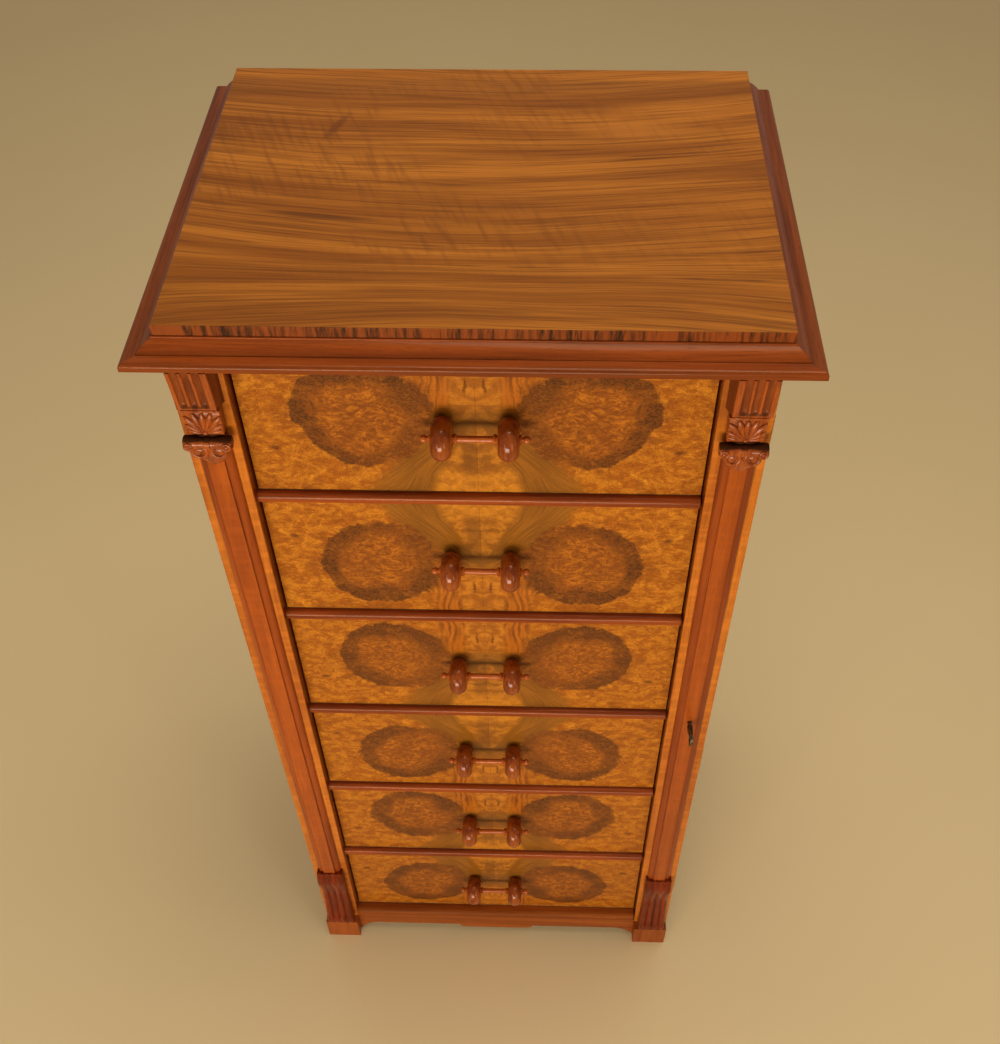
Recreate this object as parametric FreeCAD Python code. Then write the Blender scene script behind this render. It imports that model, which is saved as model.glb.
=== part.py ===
"""Wellington chest: six equal drawers between two pilastered stiles.

The right-hand stile is a tall narrow door. It hangs on three butt hinges at the
outer front corner and a lock in it throws a bolt into the end of a drawer rail.
Lengths are in millimetres. X runs to the right, Y to the back and Z up.
While the pieces are made, Y is zero on the faces of the stiles. They are saved
with the origin on the floor, under the middle of the bounding box.
"""
import FreeCAD, Part
import math
import os

Vector = FreeCAD.Vector
X_AXIS = Vector(1, 0, 0)
Y_AXIS = Vector(0, 1, 0)
Z_AXIS = Vector(0, 0, 1)

# Whole chest
carcase_width = 520.0
carcase_depth = 416.0
board_thickness = 18.0
drawer_count = 6
opening_height = 177.0
base_height = 64.0

# Stiles, the posts behind them and the gaps round the hinged one
stile_width = 48.5
stile_thickness = 22.0
stile_joint = 0.5
door_gap = 1.5
post_depth = 28.0
foot_height = 48.0
foot_forward = 12.0

# Top
moulding_height = 18.0
moulding_fillet = 7.6
moulding_slope = 26.0
moulding_quirk = 1.6
moulding_nose_radius = 3.5
moulding_shelf = 12.5
moulding_step = 0.8
moulding_swell = 1.2
moulding_inner_lap = 6.5
side_overhang = 32.5
front_overhang = 17.5
back_overhang = 8.0
slab_thickness = 10.5
slab_arris = 0.8

# Rails, dust boards and the back
rail_height = 11.0
rail_depth = 75.0
rail_end_gap = 1.5
bead_forward = 8.0
bead_top_radius = 6.0
bead_bottom_radius = 2.5
base_bead_forward = 16.0
base_bead_radius = 8.0
dust_thickness = 6.0
dust_rise = 2.5
back_thickness = 9.0
back_rebate = 9.0
back_board_count = 3

# Apron
apron_thickness = 18.0
apron_cut = 29.0
apron_tongue_drop = 9.0
apron_tongue_half = 47.0
apron_shoulder = 9.0
apron_spandrel = 42.0
apron_toe = 2.0

# Runners, guides and stops
runner_width = 52.0
guide_height = 20.0
guide_clearance = 0.4
run_clearance = 0.3
stop_thickness = 4.0
stop_length = 22.0
stop_width = 34.0
stop_inset = 70.0

# Drawers
drawer_set_back = 15.0
drawer_back_space = 20.0
front_thickness = 20.0
front_lap = 6.0
front_top_gap = 1.2
front_bottom_gap = 1.0
drawer_side_gap = 1.5
side_thickness = 9.0
side_drop = 6.0
rear_thickness = 8.0
rear_drop = 12.0
panel_thickness = 6.0
panel_rise = 8.0
panel_groove = 4.0
tail_count = 4
tail_neck_share = 0.46
tail_end_share = 0.66

# Handles: two turned wheels on a turned rod
handle_spacing = 59.6
wheel_radius = 20.5
wheel_thickness = 19.0
wheel_cheek_radius = 13.5
wheel_rim_side_count = 6
wheel_stand_off = 17.0
peg_radius = 5.0
peg_length = 12.0
rod_radius = 3.0
rod_collar_radius = 5.0
rod_collar_length = 2.2
rod_neck_radius = 2.3
rod_reach = 49.5
ball_radius = 3.8
ball_flat_share = 0.5

# Pilaster planted on each stile
pilaster_width = 32.2
pilaster_height = 7.5
pilaster_band = 16.2
pilaster_quirk = 1.4
pilaster_quirk_depth = 2.2
pilaster_bead_height = 5.0
pilaster_lip = 1.0

# Carved corbel at the head of each stile
corbel_width = 39.5
corbel_shell_width = 37.0
corbel_flute_length = 49.0
corbel_fillet_height = 3.5
corbel_fillet_depth = 11.8
corbel_shell_height = 26.0
corbel_undercut = 2.6
corbel_undercut_depth = 7.0
corbel_top_depth = 15.5
corbel_waist_depth = 9.2
corbel_border = 5.0
corbel_flute_count = 3
scallop_side_count = 4
corbel_flute_gap = 2.0
corbel_flute_depth = 2.4
corbel_height_shares = (0.0, 0.35, 0.65, 0.85, 0.96, 1.0)
shell_top_depth = 9.4
shell_foot_depth = 13.6
shell_lobe_count = 7
shell_lobe_radius = 2.7
shell_lobe_tip = 0.6
shell_spread = 74.0
scroll_radius = 7.2
scroll_centre_depth = 12.3
scroll_eye_radius = 3.2
scroll_eye_height = 0.8
leaf_length = 34.0
leaf_root_width = 33.0
leaf_root_depth = 16.0
leaf_tip_width = 10.0
leaf_tip_depth = 9.0
leaf_swell = 2.4
leaf_flat = 0.6
leaf_side_count = 6

# Reeded block above each foot
block_height = 154.0
block_rise = 58.0
block_reed_count = 4
block_reed_swell = 2.0
block_widths = (40.5, 38.0, 36.0, 36.8, 36.0)
block_depths = (18.5, 14.0, 10.5, 13.2, 10.6)
block_height_shares = (0.0, 0.14, 0.5, 0.86, 1.0)

# Butt hinges of the opening stile
hinge_length = 50.0
hinge_height_shares = (0.09, 0.4, 0.91)
leaf_plate_width = 16.5
leaf_plate_thickness = 1.5
knuckle_radius = 3.0
knuckle_clearance = 0.4
knuckle_gap = 0.3
hinge_pin_radius = 1.4
hinge_bore_clearance = 0.3

# Lock, bolt, strike and key
key_above_rail = 9.0
lock_width = 35.5
lock_depth = 11.5
lock_above_key = 18.0
lock_below_bolt = 10.5
lock_wall = 1.2
bolt_height = 6.0
bolt_thickness = 3.5
bolt_length = 27.0
bolt_throw = 8.0
bolt_set_back = 0.5
bolt_clearance = 0.3
talon_height = 2.5
talon_width = 13.0
talon_notch_radius = 3.5
strike_thickness = 1.5
strike_width = 13.0
strike_border = 0.5
mortise_spare = 3.0
keyhole_radius = 2.8
keyhole_slot_width = 2.6
keyhole_slot_length = 8.8
shank_radius = 2.2
shank_collar_radius = 3.3
shank_collar_length = 2.0
shank_collar_pitch = 3.6
shank_collar_count = 3
key_out = 30.0
key_bow_length = 16.0
key_bow_height = 19.0
key_bow_thickness = 3.0
key_bow_rim = 3.2
key_bit_length = 8.0
key_bit_depth = 6.0
key_bit_thickness = 1.8

# Places worked out from the sizes above
half_width = carcase_width / 2
stile_inner = half_width - stile_width
stile_centre = half_width - stile_width / 2
inside_half = half_width - board_thickness
carcase_front = stile_thickness + stile_joint
pitch = opening_height + rail_height
openings_top = base_height + drawer_count * pitch - rail_height
slab_bottom = openings_top + moulding_height
slab_half = half_width + side_overhang - moulding_slope
slab_front = moulding_slope - front_overhang
top_back = carcase_depth + back_overhang
apron_top = base_height - rail_height
door_bottom = foot_height + door_gap
door_top = openings_top - door_gap
boards_back = carcase_depth - back_thickness
drawer_length = boards_back - drawer_set_back - drawer_back_space
rail_back = drawer_set_back + rail_depth
rail_end = stile_inner - rail_end_gap
drawer_half = stile_inner - drawer_side_gap
corbel_foot = (door_top - corbel_flute_length - corbel_fillet_height
               - corbel_shell_height - corbel_undercut - scroll_radius * 2)
hinge_x = half_width + knuckle_radius + knuckle_clearance
hinge_y = stile_thickness + stile_joint / 2
lock_rail_top = base_height + drawer_count // 2 * pitch
key_height = lock_rail_top + key_above_rail
bolt_bottom = lock_rail_top - (rail_height + bolt_height) / 2
lock_bottom = bolt_bottom - lock_below_bolt
lock_top = key_height + lock_above_key
lock_front = stile_thickness - lock_depth
bolt_back = stile_thickness - lock_wall - bolt_clearance
bolt_tip = stile_inner + bolt_set_back
handle_y = drawer_set_back - wheel_stand_off
front_limit = pilaster_height + key_out
face_y = (front_limit - top_back) / 2


def level(number):
    """Height of the rail top that drawer number runs on, counted from the top."""
    return base_height + (drawer_count - number) * pitch


def box(x0, x1, y0, y1, z0, z1):
    """Box between two corners given as spans."""
    return Part.makeBox(x1 - x0, y1 - y0, z1 - z0, Vector(x0, y0, z0))


def both_sides(shape):
    """The shape and its mirror image in the middle plane, as separate solids."""
    return [shape, shape.mirror(Vector(0, 0, 0), X_AXIS)]


def mirrored(shape):
    """Mirror image of the shape in the middle plane of the chest."""
    return shape.mirror(Vector(0, 0, 0), X_AXIS)


def face_from(edges):
    """Plane face bounded by edges that already follow each other."""
    return Part.Face(Part.Wire(edges))


def line(a, b):
    return Part.LineSegment(a, b).toShape()


def arc(a, middle, b):
    return Part.Arc(a, middle, b).toShape()


def chords(a, middle, b, count):
    """Straight edges, count of them, along the arc from a through middle to b."""
    points = arc(a, middle, b).discretize(Number=count + 1)
    return [line(p, q) for p, q in zip(points, points[1:])]


def polygon(points):
    """Plane face through the points."""
    return Part.Face(Part.makePolygon(list(points) + [points[0]]))


def cylinder(radius, length, start, axis):
    return Part.makeCylinder(radius, length, start, axis)


def fused(shapes):
    """One clean solid from overlapping shapes."""
    return shapes[0].multiFuse(shapes[1:]).removeSplitter()


# Carcase

def side_panel():
    """Right side board, rebated for the back boards and sunk for the hinges."""
    panel = box(inside_half, half_width, carcase_front, carcase_depth, 0, openings_top)
    rebate = box(inside_half, inside_half + back_rebate, boards_back, carcase_depth,
                 apron_top, openings_top)
    return panel.cut(rebate)


def hinge_sinkings():
    """Shallow recesses in the front edge of the side board, one to a hinge."""
    return [box(half_width - leaf_plate_width, half_width, carcase_front,
                carcase_front + leaf_plate_thickness, z - hinge_length / 2, z + hinge_length / 2)
            for z in hinge_heights()]


def hinge_heights():
    return [door_bottom + (door_top - door_bottom) * share for share in hinge_height_shares]


def back_boards():
    """Upright boards side by side in the rebates."""
    half = inside_half + back_rebate
    width = 2 * half / back_board_count
    return [box(width * n - half, width * (n + 1) - half, boards_back, carcase_depth,
                apron_top, openings_top)
            for n in range(back_board_count)]


def front_posts():
    """Posts behind the stiles, which carry the ends of the rails."""
    post = box(stile_inner, inside_half, carcase_front, carcase_front + post_depth,
               0, openings_top)
    return both_sides(post)


def feet():
    """Plain blocks under the stiles."""
    foot = box(stile_inner, half_width, -foot_forward, carcase_front, 0, foot_height)
    return both_sides(foot)


def rail(z):
    """Dividing rail with its top at z; its right end stays clear of the door."""
    return box(-stile_inner, rail_end, drawer_set_back, rail_back,
               z - rail_height, z)


def divider_rails():
    """The rail under each drawer; one has a mortise for the bolt and its strike."""
    rails = []
    for number in range(1, drawer_count + 1):
        piece = rail(level(number))
        if level(number) == lock_rail_top:
            piece = piece.cut(bolt_mortise()).cut(strike_plate_blank())
        rails.append(piece)
    return rails


def bead_profile(forward, top_radius, bottom_radius, x, z_top):
    """Cross-section of a rounded bead whose back is on the drawer faces."""
    back = drawer_set_back
    front = back - forward
    bottom = z_top - rail_height
    turn = 1 - math.sqrt(0.5)
    edges = [
        line(Vector(x, back, bottom), Vector(x, back, z_top)),
        line(Vector(x, back, z_top), Vector(x, front + top_radius, z_top)),
        arc(Vector(x, front + top_radius, z_top),
            Vector(x, front + top_radius * turn, z_top - top_radius * turn),
            Vector(x, front, z_top - top_radius)),
        line(Vector(x, front, z_top - top_radius), Vector(x, front, bottom + bottom_radius)),
        arc(Vector(x, front, bottom + bottom_radius),
            Vector(x, front + bottom_radius * turn, bottom + bottom_radius * turn),
            Vector(x, front + bottom_radius, bottom)),
        line(Vector(x, front + bottom_radius, bottom), Vector(x, back, bottom)),
    ]
    return face_from(edges)


def bead(forward, top_radius, bottom_radius, z_top):
    """Bead along the front of a rail."""
    profile = bead_profile(forward, top_radius, bottom_radius, -stile_inner, z_top)
    return profile.extrude(X_AXIS * (stile_inner + rail_end))


def rail_beads():
    return [bead(bead_forward, bead_top_radius, bead_bottom_radius, level(number))
            for number in range(1, drawer_count)]


def base_bead():
    return bead(base_bead_forward, base_bead_radius, bead_bottom_radius, base_height)


def apron():
    """Shaped board under the base bead, with a tongue in the middle."""
    shelf = apron_top - apron_cut
    tongue = shelf - apron_tongue_drop
    bend = math.sqrt(0.5)
    shoulder = apron_tongue_half + apron_shoulder
    spring = stile_inner - apron_spandrel
    rise = shelf - apron_toe

    def at(x, z):
        return Vector(x, 0, z)

    def half(side):
        hollow = at(side * (spring + apron_spandrel * bend), shelf - rise * (1 - bend))
        step = at(side * (apron_tongue_half + apron_shoulder * bend),
                  shelf - apron_tongue_drop * bend)
        return [
            line(at(side * stile_inner, apron_top), at(side * stile_inner, apron_toe)),
            arc(at(side * stile_inner, apron_toe), hollow, at(side * spring, shelf)),
            line(at(side * spring, shelf), at(side * shoulder, shelf)),
            arc(at(side * shoulder, shelf), step, at(side * apron_tongue_half, tongue)),
        ]

    edges = half(-1)
    edges.append(line(at(-apron_tongue_half, tongue), at(apron_tongue_half, tongue)))
    edges.extend(reversed(half(1)))
    edges.append(line(at(stile_inner, apron_top), at(-stile_inner, apron_top)))
    outline = Part.Face(Part.Wire(Part.__sortEdges__(edges)))
    return outline.extrude(Y_AXIS * apron_thickness)


def dust_boards():
    """Thin boards between the drawers, held between the runners."""
    half = inside_half - runner_width
    return [box(-half, half, rail_back, boards_back,
                level(number) - rail_height + dust_rise,
                level(number) - rail_height + dust_rise + dust_thickness)
            for number in range(1, drawer_count + 1)]


def runners_and_guides():
    """For each drawer, two runners under its sides and two guides beside them."""
    pieces = []
    for number in range(1, drawer_count + 1):
        z = level(number)
        runner = box(inside_half - runner_width, inside_half, rail_back, boards_back,
                     z - rail_height, z)
        guide = box(drawer_half + guide_clearance, inside_half, carcase_front + post_depth,
                    boards_back, z, z + guide_height)
        pieces.extend(both_sides(runner))
        pieces.extend(both_sides(guide))
    return pieces


def drawer_stops():
    """Small blocks on the rails that each drawer front meets as it shuts."""
    back_of_front = drawer_set_back + front_thickness + run_clearance
    pieces = []
    for number in range(1, drawer_count + 1):
        z = level(number)
        stop = box(drawer_half - stop_inset - stop_width, drawer_half - stop_inset,
                   back_of_front, back_of_front + stop_length, z, z + stop_thickness)
        pieces.extend(both_sides(stop))
    return pieces


# Top

def moulding_profile(at, along):
    """Section of the top moulding. at places its points and along is its run."""
    bottom = openings_top
    fillet_top = bottom + moulding_fillet
    crest = slab_bottom - moulding_quirk
    nose = moulding_nose_radius
    turn = 1 - math.sqrt(0.5)
    inner = -moulding_inner_lap
    shelf = moulding_slope - moulding_shelf
    foot = fillet_top + moulding_step
    middle = at((moulding_quirk + shelf) / 2, (foot + crest) / 2 + moulding_swell)
    edges = [
        line(at(inner, bottom), at(moulding_slope, bottom)),
        line(at(moulding_slope, bottom), at(moulding_slope, fillet_top - nose)),
        arc(at(moulding_slope, fillet_top - nose),
            at(moulding_slope - nose * turn, fillet_top - nose * turn),
            at(moulding_slope - nose, fillet_top)),
        line(at(moulding_slope - nose, fillet_top), at(shelf, fillet_top)),
        line(at(shelf, fillet_top), at(shelf, foot)),
        arc(at(shelf, foot), middle, at(moulding_quirk, crest)),
        line(at(moulding_quirk, crest), at(moulding_quirk, slab_bottom)),
        line(at(moulding_quirk, slab_bottom), at(inner, slab_bottom)),
        line(at(inner, slab_bottom), at(inner, bottom)),
    ]
    return face_from(edges).extrude(along)


def mitre_plan(points):
    """Upright prism on a plan outline, which cuts a moulding to its mitres."""
    corners = [Vector(x, y, openings_top) for x, y in points]
    return polygon(corners).extrude(Z_AXIS * moulding_height)


def top_moulding_front():
    half = half_width + side_overhang
    inner_y = slab_front + moulding_inner_lap
    run = moulding_profile(lambda out, z: Vector(-half, slab_front - out, z), X_AXIS * (half * 2))
    plan = mitre_plan([(-half, -front_overhang), (half, -front_overhang),
                       (half_width, inner_y), (-half_width, inner_y)])
    return run.common(plan)


def top_moulding_side():
    """Right-hand return of the top moulding, up to the back edge of the top."""
    half = half_width + side_overhang
    inner_y = slab_front + moulding_inner_lap
    run = moulding_profile(lambda out, z: Vector(slab_half + out, -front_overhang, z),
                           Y_AXIS * (top_back + front_overhang))
    plan = mitre_plan([(half, -front_overhang), (half, top_back),
                       (half_width, top_back), (half_width, inner_y)])
    return run.common(plan)


def top_board():
    """Board inside the mouldings, which closes the carcase."""
    return box(-half_width, half_width, slab_front + moulding_inner_lap, top_back,
               openings_top, slab_bottom)


def top_slab():
    """Thin figured top laid on the mouldings, with its upper arrises eased."""
    slab = box(-slab_half, slab_half, slab_front, top_back,
               slab_bottom, slab_bottom + slab_thickness)
    top_edges = [e for e in slab.Edges if e.BoundBox.ZMin > slab_bottom + slab_arris]
    return slab.makeFillet(slab_arris, top_edges)


# Stiles

def stile_board(bottom, top):
    return box(stile_inner, half_width, 0, stile_thickness, bottom, top)


def pilaster():
    """Moulded strip: a flat band between two quirks and two sloping beads."""
    half = pilaster_width / 2
    band = pilaster_band / 2
    shoulder = band + pilaster_quirk
    floor = -(pilaster_height - pilaster_quirk_depth)
    z = block_rise + block_height
    bead_middle = (half + shoulder) / 2

    def at(x, y):
        return Vector(stile_centre + x, y, z)

    right = [
        line(at(band, -pilaster_height), at(band, floor)),
        line(at(band, floor), at(shoulder, floor)),
        arc(at(shoulder, floor), at(bead_middle, -pilaster_bead_height), at(half, -pilaster_lip)),
        line(at(half, -pilaster_lip), at(half, 0)),
    ]
    left = [edge.mirror(Vector(stile_centre, 0, 0), X_AXIS) for edge in right]
    ends = [line(at(-band, -pilaster_height), at(band, -pilaster_height)),
            line(at(half, 0), at(-half, 0))]
    section = Part.Face(Part.Wire(Part.__sortEdges__(right + left + ends)))
    return section.extrude(Z_AXIS * (corbel_foot - z))


def scalloped_section(width, depth, z, count, border, gap, bulge):
    """Outline with a row of arcs along its front: hollow if bulge is negative."""
    left = stile_centre - width / 2
    reed = (width - 2 * border - (count - 1) * gap) / count
    edges = []
    x = left + border
    if border:
        edges.append(line(Vector(left, -depth, z), Vector(x, -depth, z)))
    for n in range(count):
        edges.extend(chords(Vector(x, -depth, z), Vector(x + reed / 2, -depth - bulge, z),
                            Vector(x + reed, -depth, z), scallop_side_count))
        x = x + reed
        if gap and n < count - 1:
            edges.append(line(Vector(x, -depth, z), Vector(x + gap, -depth, z)))
            x = x + gap
    if border:
        edges.append(line(Vector(x, -depth, z), Vector(x + border, -depth, z)))
        x = x + border
    edges.append(line(Vector(x, -depth, z), Vector(x, 0, z)))
    edges.append(line(Vector(x, 0, z), Vector(left, 0, z)))
    edges.append(line(Vector(left, 0, z), Vector(left, -depth, z)))
    return Part.Wire(edges)


def corbel_flutes():
    """Head of the corbel: upright flutes down a hollow face."""
    bottom = door_top - corbel_flute_length
    sections = []
    for share in corbel_height_shares:
        hollow = 1 - math.sqrt(1 - share * share)
        depth = corbel_waist_depth + (corbel_top_depth - corbel_waist_depth) * hollow
        sections.append(scalloped_section(corbel_width, depth, bottom + share * corbel_flute_length,
                                          corbel_flute_count, corbel_border,
                                          corbel_flute_gap, -corbel_flute_depth))
    return Part.makeLoft(sections, True, True)


def corbel_shell(top):
    """Sloping panel with a fan of lobes that widen upwards."""
    foot = top - corbel_shell_height
    left = stile_centre - corbel_shell_width / 2
    outline = polygon([Vector(left, 0, top), Vector(left, -shell_top_depth, top),
                       Vector(left, -shell_foot_depth, foot), Vector(left, 0, foot)])
    panel = outline.extrude(X_AXIS * corbel_shell_width)
    tilt = math.degrees(math.atan2(shell_foot_depth - shell_top_depth, corbel_shell_height))
    root = Vector(stile_centre, -shell_foot_depth, foot)
    reach = corbel_shell_height - shell_lobe_radius
    half = corbel_shell_width / 2 - shell_lobe_radius
    lobes = []
    for n in range(shell_lobe_count):
        angle = math.radians(shell_spread * (2 * n / (shell_lobe_count - 1) - 1))
        length = 1 / math.hypot(math.sin(angle) / half, math.cos(angle) / reach)
        lobe = Part.makeCone(shell_lobe_tip, shell_lobe_radius, length)
        lobe.rotate(Vector(0, 0, 0), Y_AXIS, math.degrees(angle))
        lobe.rotate(Vector(0, 0, 0), X_AXIS, -tilt)
        lobe.translate(root)
        lobes.append(lobe)
    return [panel] + lobes


def corbel_scroll(top):
    """Roll along the foot of the corbel with an eye at each end, and its neck."""
    centre = top - scroll_radius
    left = stile_centre - corbel_width / 2
    roll = cylinder(scroll_radius, corbel_width,
                    Vector(left, -scroll_centre_depth, centre), X_AXIS)
    eye = cylinder(scroll_eye_radius, corbel_width + 2 * scroll_eye_height,
                   Vector(left - scroll_eye_height, -scroll_centre_depth, centre), X_AXIS)
    neck = box(left + scroll_eye_radius, left + corbel_width - scroll_eye_radius,
               -scroll_centre_depth, 0, corbel_foot, top)
    return [roll, eye, neck]


def leaf_section(width, depth, swell, z):
    """Bowed front over the flat band of the pilaster."""
    left = stile_centre - width / 2
    right = stile_centre + width / 2
    back = -pilaster_height
    bow = chords(Vector(left, back - leaf_flat, z), Vector(stile_centre, -depth - swell, z),
                 Vector(right, back - leaf_flat, z), leaf_side_count)
    return Part.Wire(bow + [
        line(Vector(right, back - leaf_flat, z), Vector(right, back, z)),
        line(Vector(right, back, z), Vector(left, back, z)),
        line(Vector(left, back, z), Vector(left, back - leaf_flat, z)),
    ])


def corbel_leaf():
    """Leaf that hangs from the scroll and dies on the pilaster."""
    top = corbel_foot + scroll_radius
    return Part.makeLoft([
        leaf_section(leaf_root_width, leaf_root_depth, 0, top),
        leaf_section((leaf_root_width + leaf_tip_width) / 2, (leaf_root_depth + leaf_tip_depth) / 2,
                     leaf_swell, top - leaf_length / 2),
        leaf_section(leaf_tip_width, leaf_tip_depth, 0, top - leaf_length),
    ], True, True)


def corbel():
    """Carved bracket: fluted head, fillet, shell, undercut, scroll and leaf."""
    shell_top = door_top - corbel_flute_length - corbel_fillet_height
    half = corbel_width / 2
    fillet = box(stile_centre - half, stile_centre + half, -corbel_fillet_depth, 0,
                 shell_top, door_top - corbel_flute_length)
    scroll_top = shell_top - corbel_shell_height - corbel_undercut
    core = box(stile_centre - corbel_shell_width / 2, stile_centre + corbel_shell_width / 2,
               -corbel_undercut_depth, 0, scroll_top, shell_top - corbel_shell_height)
    pieces = [corbel_flutes(), fillet, core]
    pieces.extend(corbel_shell(shell_top))
    pieces.extend(corbel_scroll(scroll_top))
    pieces.append(corbel_leaf())
    return fused(pieces)


def reeded_block():
    """Block over the foot: reeds that swell, waist and flare down its height."""
    sections = []
    for share, width, depth in zip(block_height_shares, block_widths, block_depths):
        sections.append(scalloped_section(width, depth, block_rise + share * block_height,
                                          block_reed_count, 0, 0, block_reed_swell))
    return Part.makeLoft(sections, True, True)


# Door: the hinged right stile

def keyhole(y0, y1):
    """Round hole with a slot below it, cut through from y0 to y1."""
    hole = cylinder(keyhole_radius, y1 - y0, Vector(stile_centre, y0, key_height), Y_AXIS)
    slot = box(stile_centre - keyhole_slot_width / 2, stile_centre + keyhole_slot_width / 2,
               y0, y1, key_height - keyhole_slot_length, key_height)
    return hole.fuse(slot)


def lock_blank():
    """Space of the lock in the back of the door, open at the door's inner edge."""
    return box(stile_inner, stile_inner + lock_width, lock_front, stile_thickness,
               lock_bottom, lock_top)


def stile_right():
    board = stile_board(door_bottom, door_top).cut(lock_blank())
    board = board.cut(keyhole(0, lock_front))
    for z in hinge_heights():
        board = board.cut(box(half_width - leaf_plate_width, half_width,
                              stile_thickness - leaf_plate_thickness, stile_thickness,
                              z - hinge_length / 2, z + hinge_length / 2))
    return board


def knuckle(z0, z1, bore):
    """Length of hinge barrel, bored or solid, on the hinge axis."""
    barrel = cylinder(knuckle_radius, z1 - z0, Vector(hinge_x, hinge_y, z0), Z_AXIS)
    if bore:
        barrel = barrel.cut(cylinder(bore, z1 - z0, Vector(hinge_x, hinge_y, z0), Z_AXIS))
    return barrel


def fixed_hinge(z):
    """Leaf on the side board with the end knuckles and the pin."""
    low = z - hinge_length / 2
    high = z + hinge_length / 2
    third = (hinge_length - 2 * knuckle_gap) / 3
    y0 = carcase_front
    y1 = y0 + leaf_plate_thickness
    pieces = [box(half_width - leaf_plate_width, half_width, y0, y1, low, high)]
    for z0, z1 in ((low, low + third), (high - third, high)):
        pieces.append(box(half_width, hinge_x, y0, y1, z0, z1))
        pieces.append(knuckle(z0, z1, 0))
    pieces.append(cylinder(hinge_pin_radius, hinge_length, Vector(hinge_x, hinge_y, low), Z_AXIS))
    return fused(pieces)


def moving_hinge(z):
    """Leaf on the door with the middle knuckle."""
    low = z - hinge_length / 2
    high = z + hinge_length / 2
    third = (hinge_length - 2 * knuckle_gap) / 3
    z0 = low + third + knuckle_gap
    z1 = high - third - knuckle_gap
    y1 = stile_thickness
    y0 = y1 - leaf_plate_thickness
    plate = box(half_width - leaf_plate_width, half_width, y0, y1, low, high)
    tab = box(half_width, hinge_x, y0, y1, z0, z1)
    bore = hinge_pin_radius + hinge_bore_clearance
    hole = cylinder(bore, z1 - z0, Vector(hinge_x, hinge_y, z0), Z_AXIS)
    return fused([plate, tab, knuckle(z0, z1, bore)]).cut(hole)


def bolt_slot():
    """Way of the bolt through the edge of the lock case, with its clearance."""
    return box(stile_inner, stile_inner + lock_wall, bolt_back - bolt_thickness - bolt_clearance,
               bolt_back + bolt_clearance, bolt_bottom - bolt_clearance,
               bolt_bottom + bolt_height + bolt_clearance)


def lock_case():
    """Brass box flush with the back and inner edge of the door."""
    cavity = box(stile_inner + lock_wall, stile_inner + lock_width - lock_wall,
                 lock_front + lock_wall, stile_thickness - lock_wall,
                 lock_bottom + lock_wall, lock_top - lock_wall)
    pivot = cylinder(keyhole_radius, lock_wall,
                     Vector(stile_centre, stile_thickness - lock_wall, key_height), Y_AXIS)
    case = lock_blank().cut(cavity).cut(bolt_slot())
    return case.cut(keyhole(lock_front, lock_front + lock_wall)).cut(pivot)


def lock_bolt():
    """Bar that leaves the edge of the door, with a talon over which the key passes."""
    y0 = bolt_back - bolt_thickness
    end = bolt_tip + bolt_length
    top = bolt_bottom + bolt_height
    bar = box(bolt_tip, end, y0, bolt_back, bolt_bottom, top)
    talon = box(end - talon_width, end, y0, bolt_back, top, top + talon_height)
    notch = cylinder(talon_notch_radius, bolt_thickness,
                     Vector(end - talon_width / 2, y0, top + talon_height), Y_AXIS)
    return fused([bar, talon]).cut(notch)


def bolt_mortise():
    """Hole in the end of the lock rail that the thrown bolt enters."""
    return box(bolt_tip - bolt_throw - mortise_spare, rail_end,
               bolt_back - bolt_thickness - bolt_clearance, bolt_back + bolt_clearance,
               bolt_bottom - bolt_clearance, bolt_bottom + bolt_height + bolt_clearance)


def strike_plate_blank():
    """Space of the strike in the end of the lock rail."""
    return box(rail_end - strike_thickness, rail_end, drawer_set_back + strike_border,
               drawer_set_back + strike_border + strike_width,
               lock_rail_top - rail_height + strike_border, lock_rail_top - strike_border)


def lock_strike():
    return strike_plate_blank().cut(bolt_mortise())


def key():
    """Key with a ring bow, ribbed shank and a bit that hangs in the slot."""
    tip = stile_thickness
    front = -pilaster_height - key_out
    shank_start = front + key_bow_length - key_bow_rim
    shank = cylinder(shank_radius, tip - shank_start,
                     Vector(stile_centre, shank_start, key_height), Y_AXIS)
    pieces = [shank]
    for n in range(shank_collar_count):
        y = front + key_bow_length + n * shank_collar_pitch
        pieces.append(cylinder(shank_collar_radius, shank_collar_length,
                               Vector(stile_centre, y, key_height), Y_AXIS))
    pieces.append(box(stile_centre - key_bit_thickness / 2, stile_centre + key_bit_thickness / 2,
                      bolt_back - key_bit_depth, bolt_back,
                      key_height - key_bit_length, key_height))
    pieces.append(key_bow(front))
    return fused(pieces)


def key_bow(front):
    """Oval ring standing in the upright plane of the shank."""
    centre = Vector(stile_centre - key_bow_thickness / 2, front + key_bow_length / 2, key_height)

    def oval(across, along):
        """Elliptical slab: across is its height, along its reach on the shank."""
        if across > along:
            ellipse = Part.Ellipse(centre + Vector(0, 0, across), centre + Vector(0, along, 0), centre)
        else:
            ellipse = Part.Ellipse(centre + Vector(0, along, 0), centre + Vector(0, 0, across), centre)
        return Part.Face(Part.Wire(ellipse.toShape())).extrude(X_AXIS * key_bow_thickness)

    outer = oval(key_bow_height / 2, key_bow_length / 2)
    inner = oval(key_bow_height / 2 - key_bow_rim, key_bow_length / 2 - key_bow_rim)
    return outer.cut(inner)


# Drawers

def tails(x0, x1, z0, z1, root, end):
    """Dovetails between heights z0 and z1, widening from y root to y end."""
    step = (z1 - z0) / tail_count
    pieces = []
    for n in range(tail_count):
        middle = z0 + n * step + step / 2
        neck = step * tail_neck_share / 2
        wide = step * tail_end_share / 2
        outline = polygon([Vector(x0, root, middle - neck), Vector(x0, root, middle + neck),
                           Vector(x0, end, middle + wide), Vector(x0, end, middle - wide)])
        pieces.append(outline.extrude(X_AXIS * (x1 - x0)))
    return pieces


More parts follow.
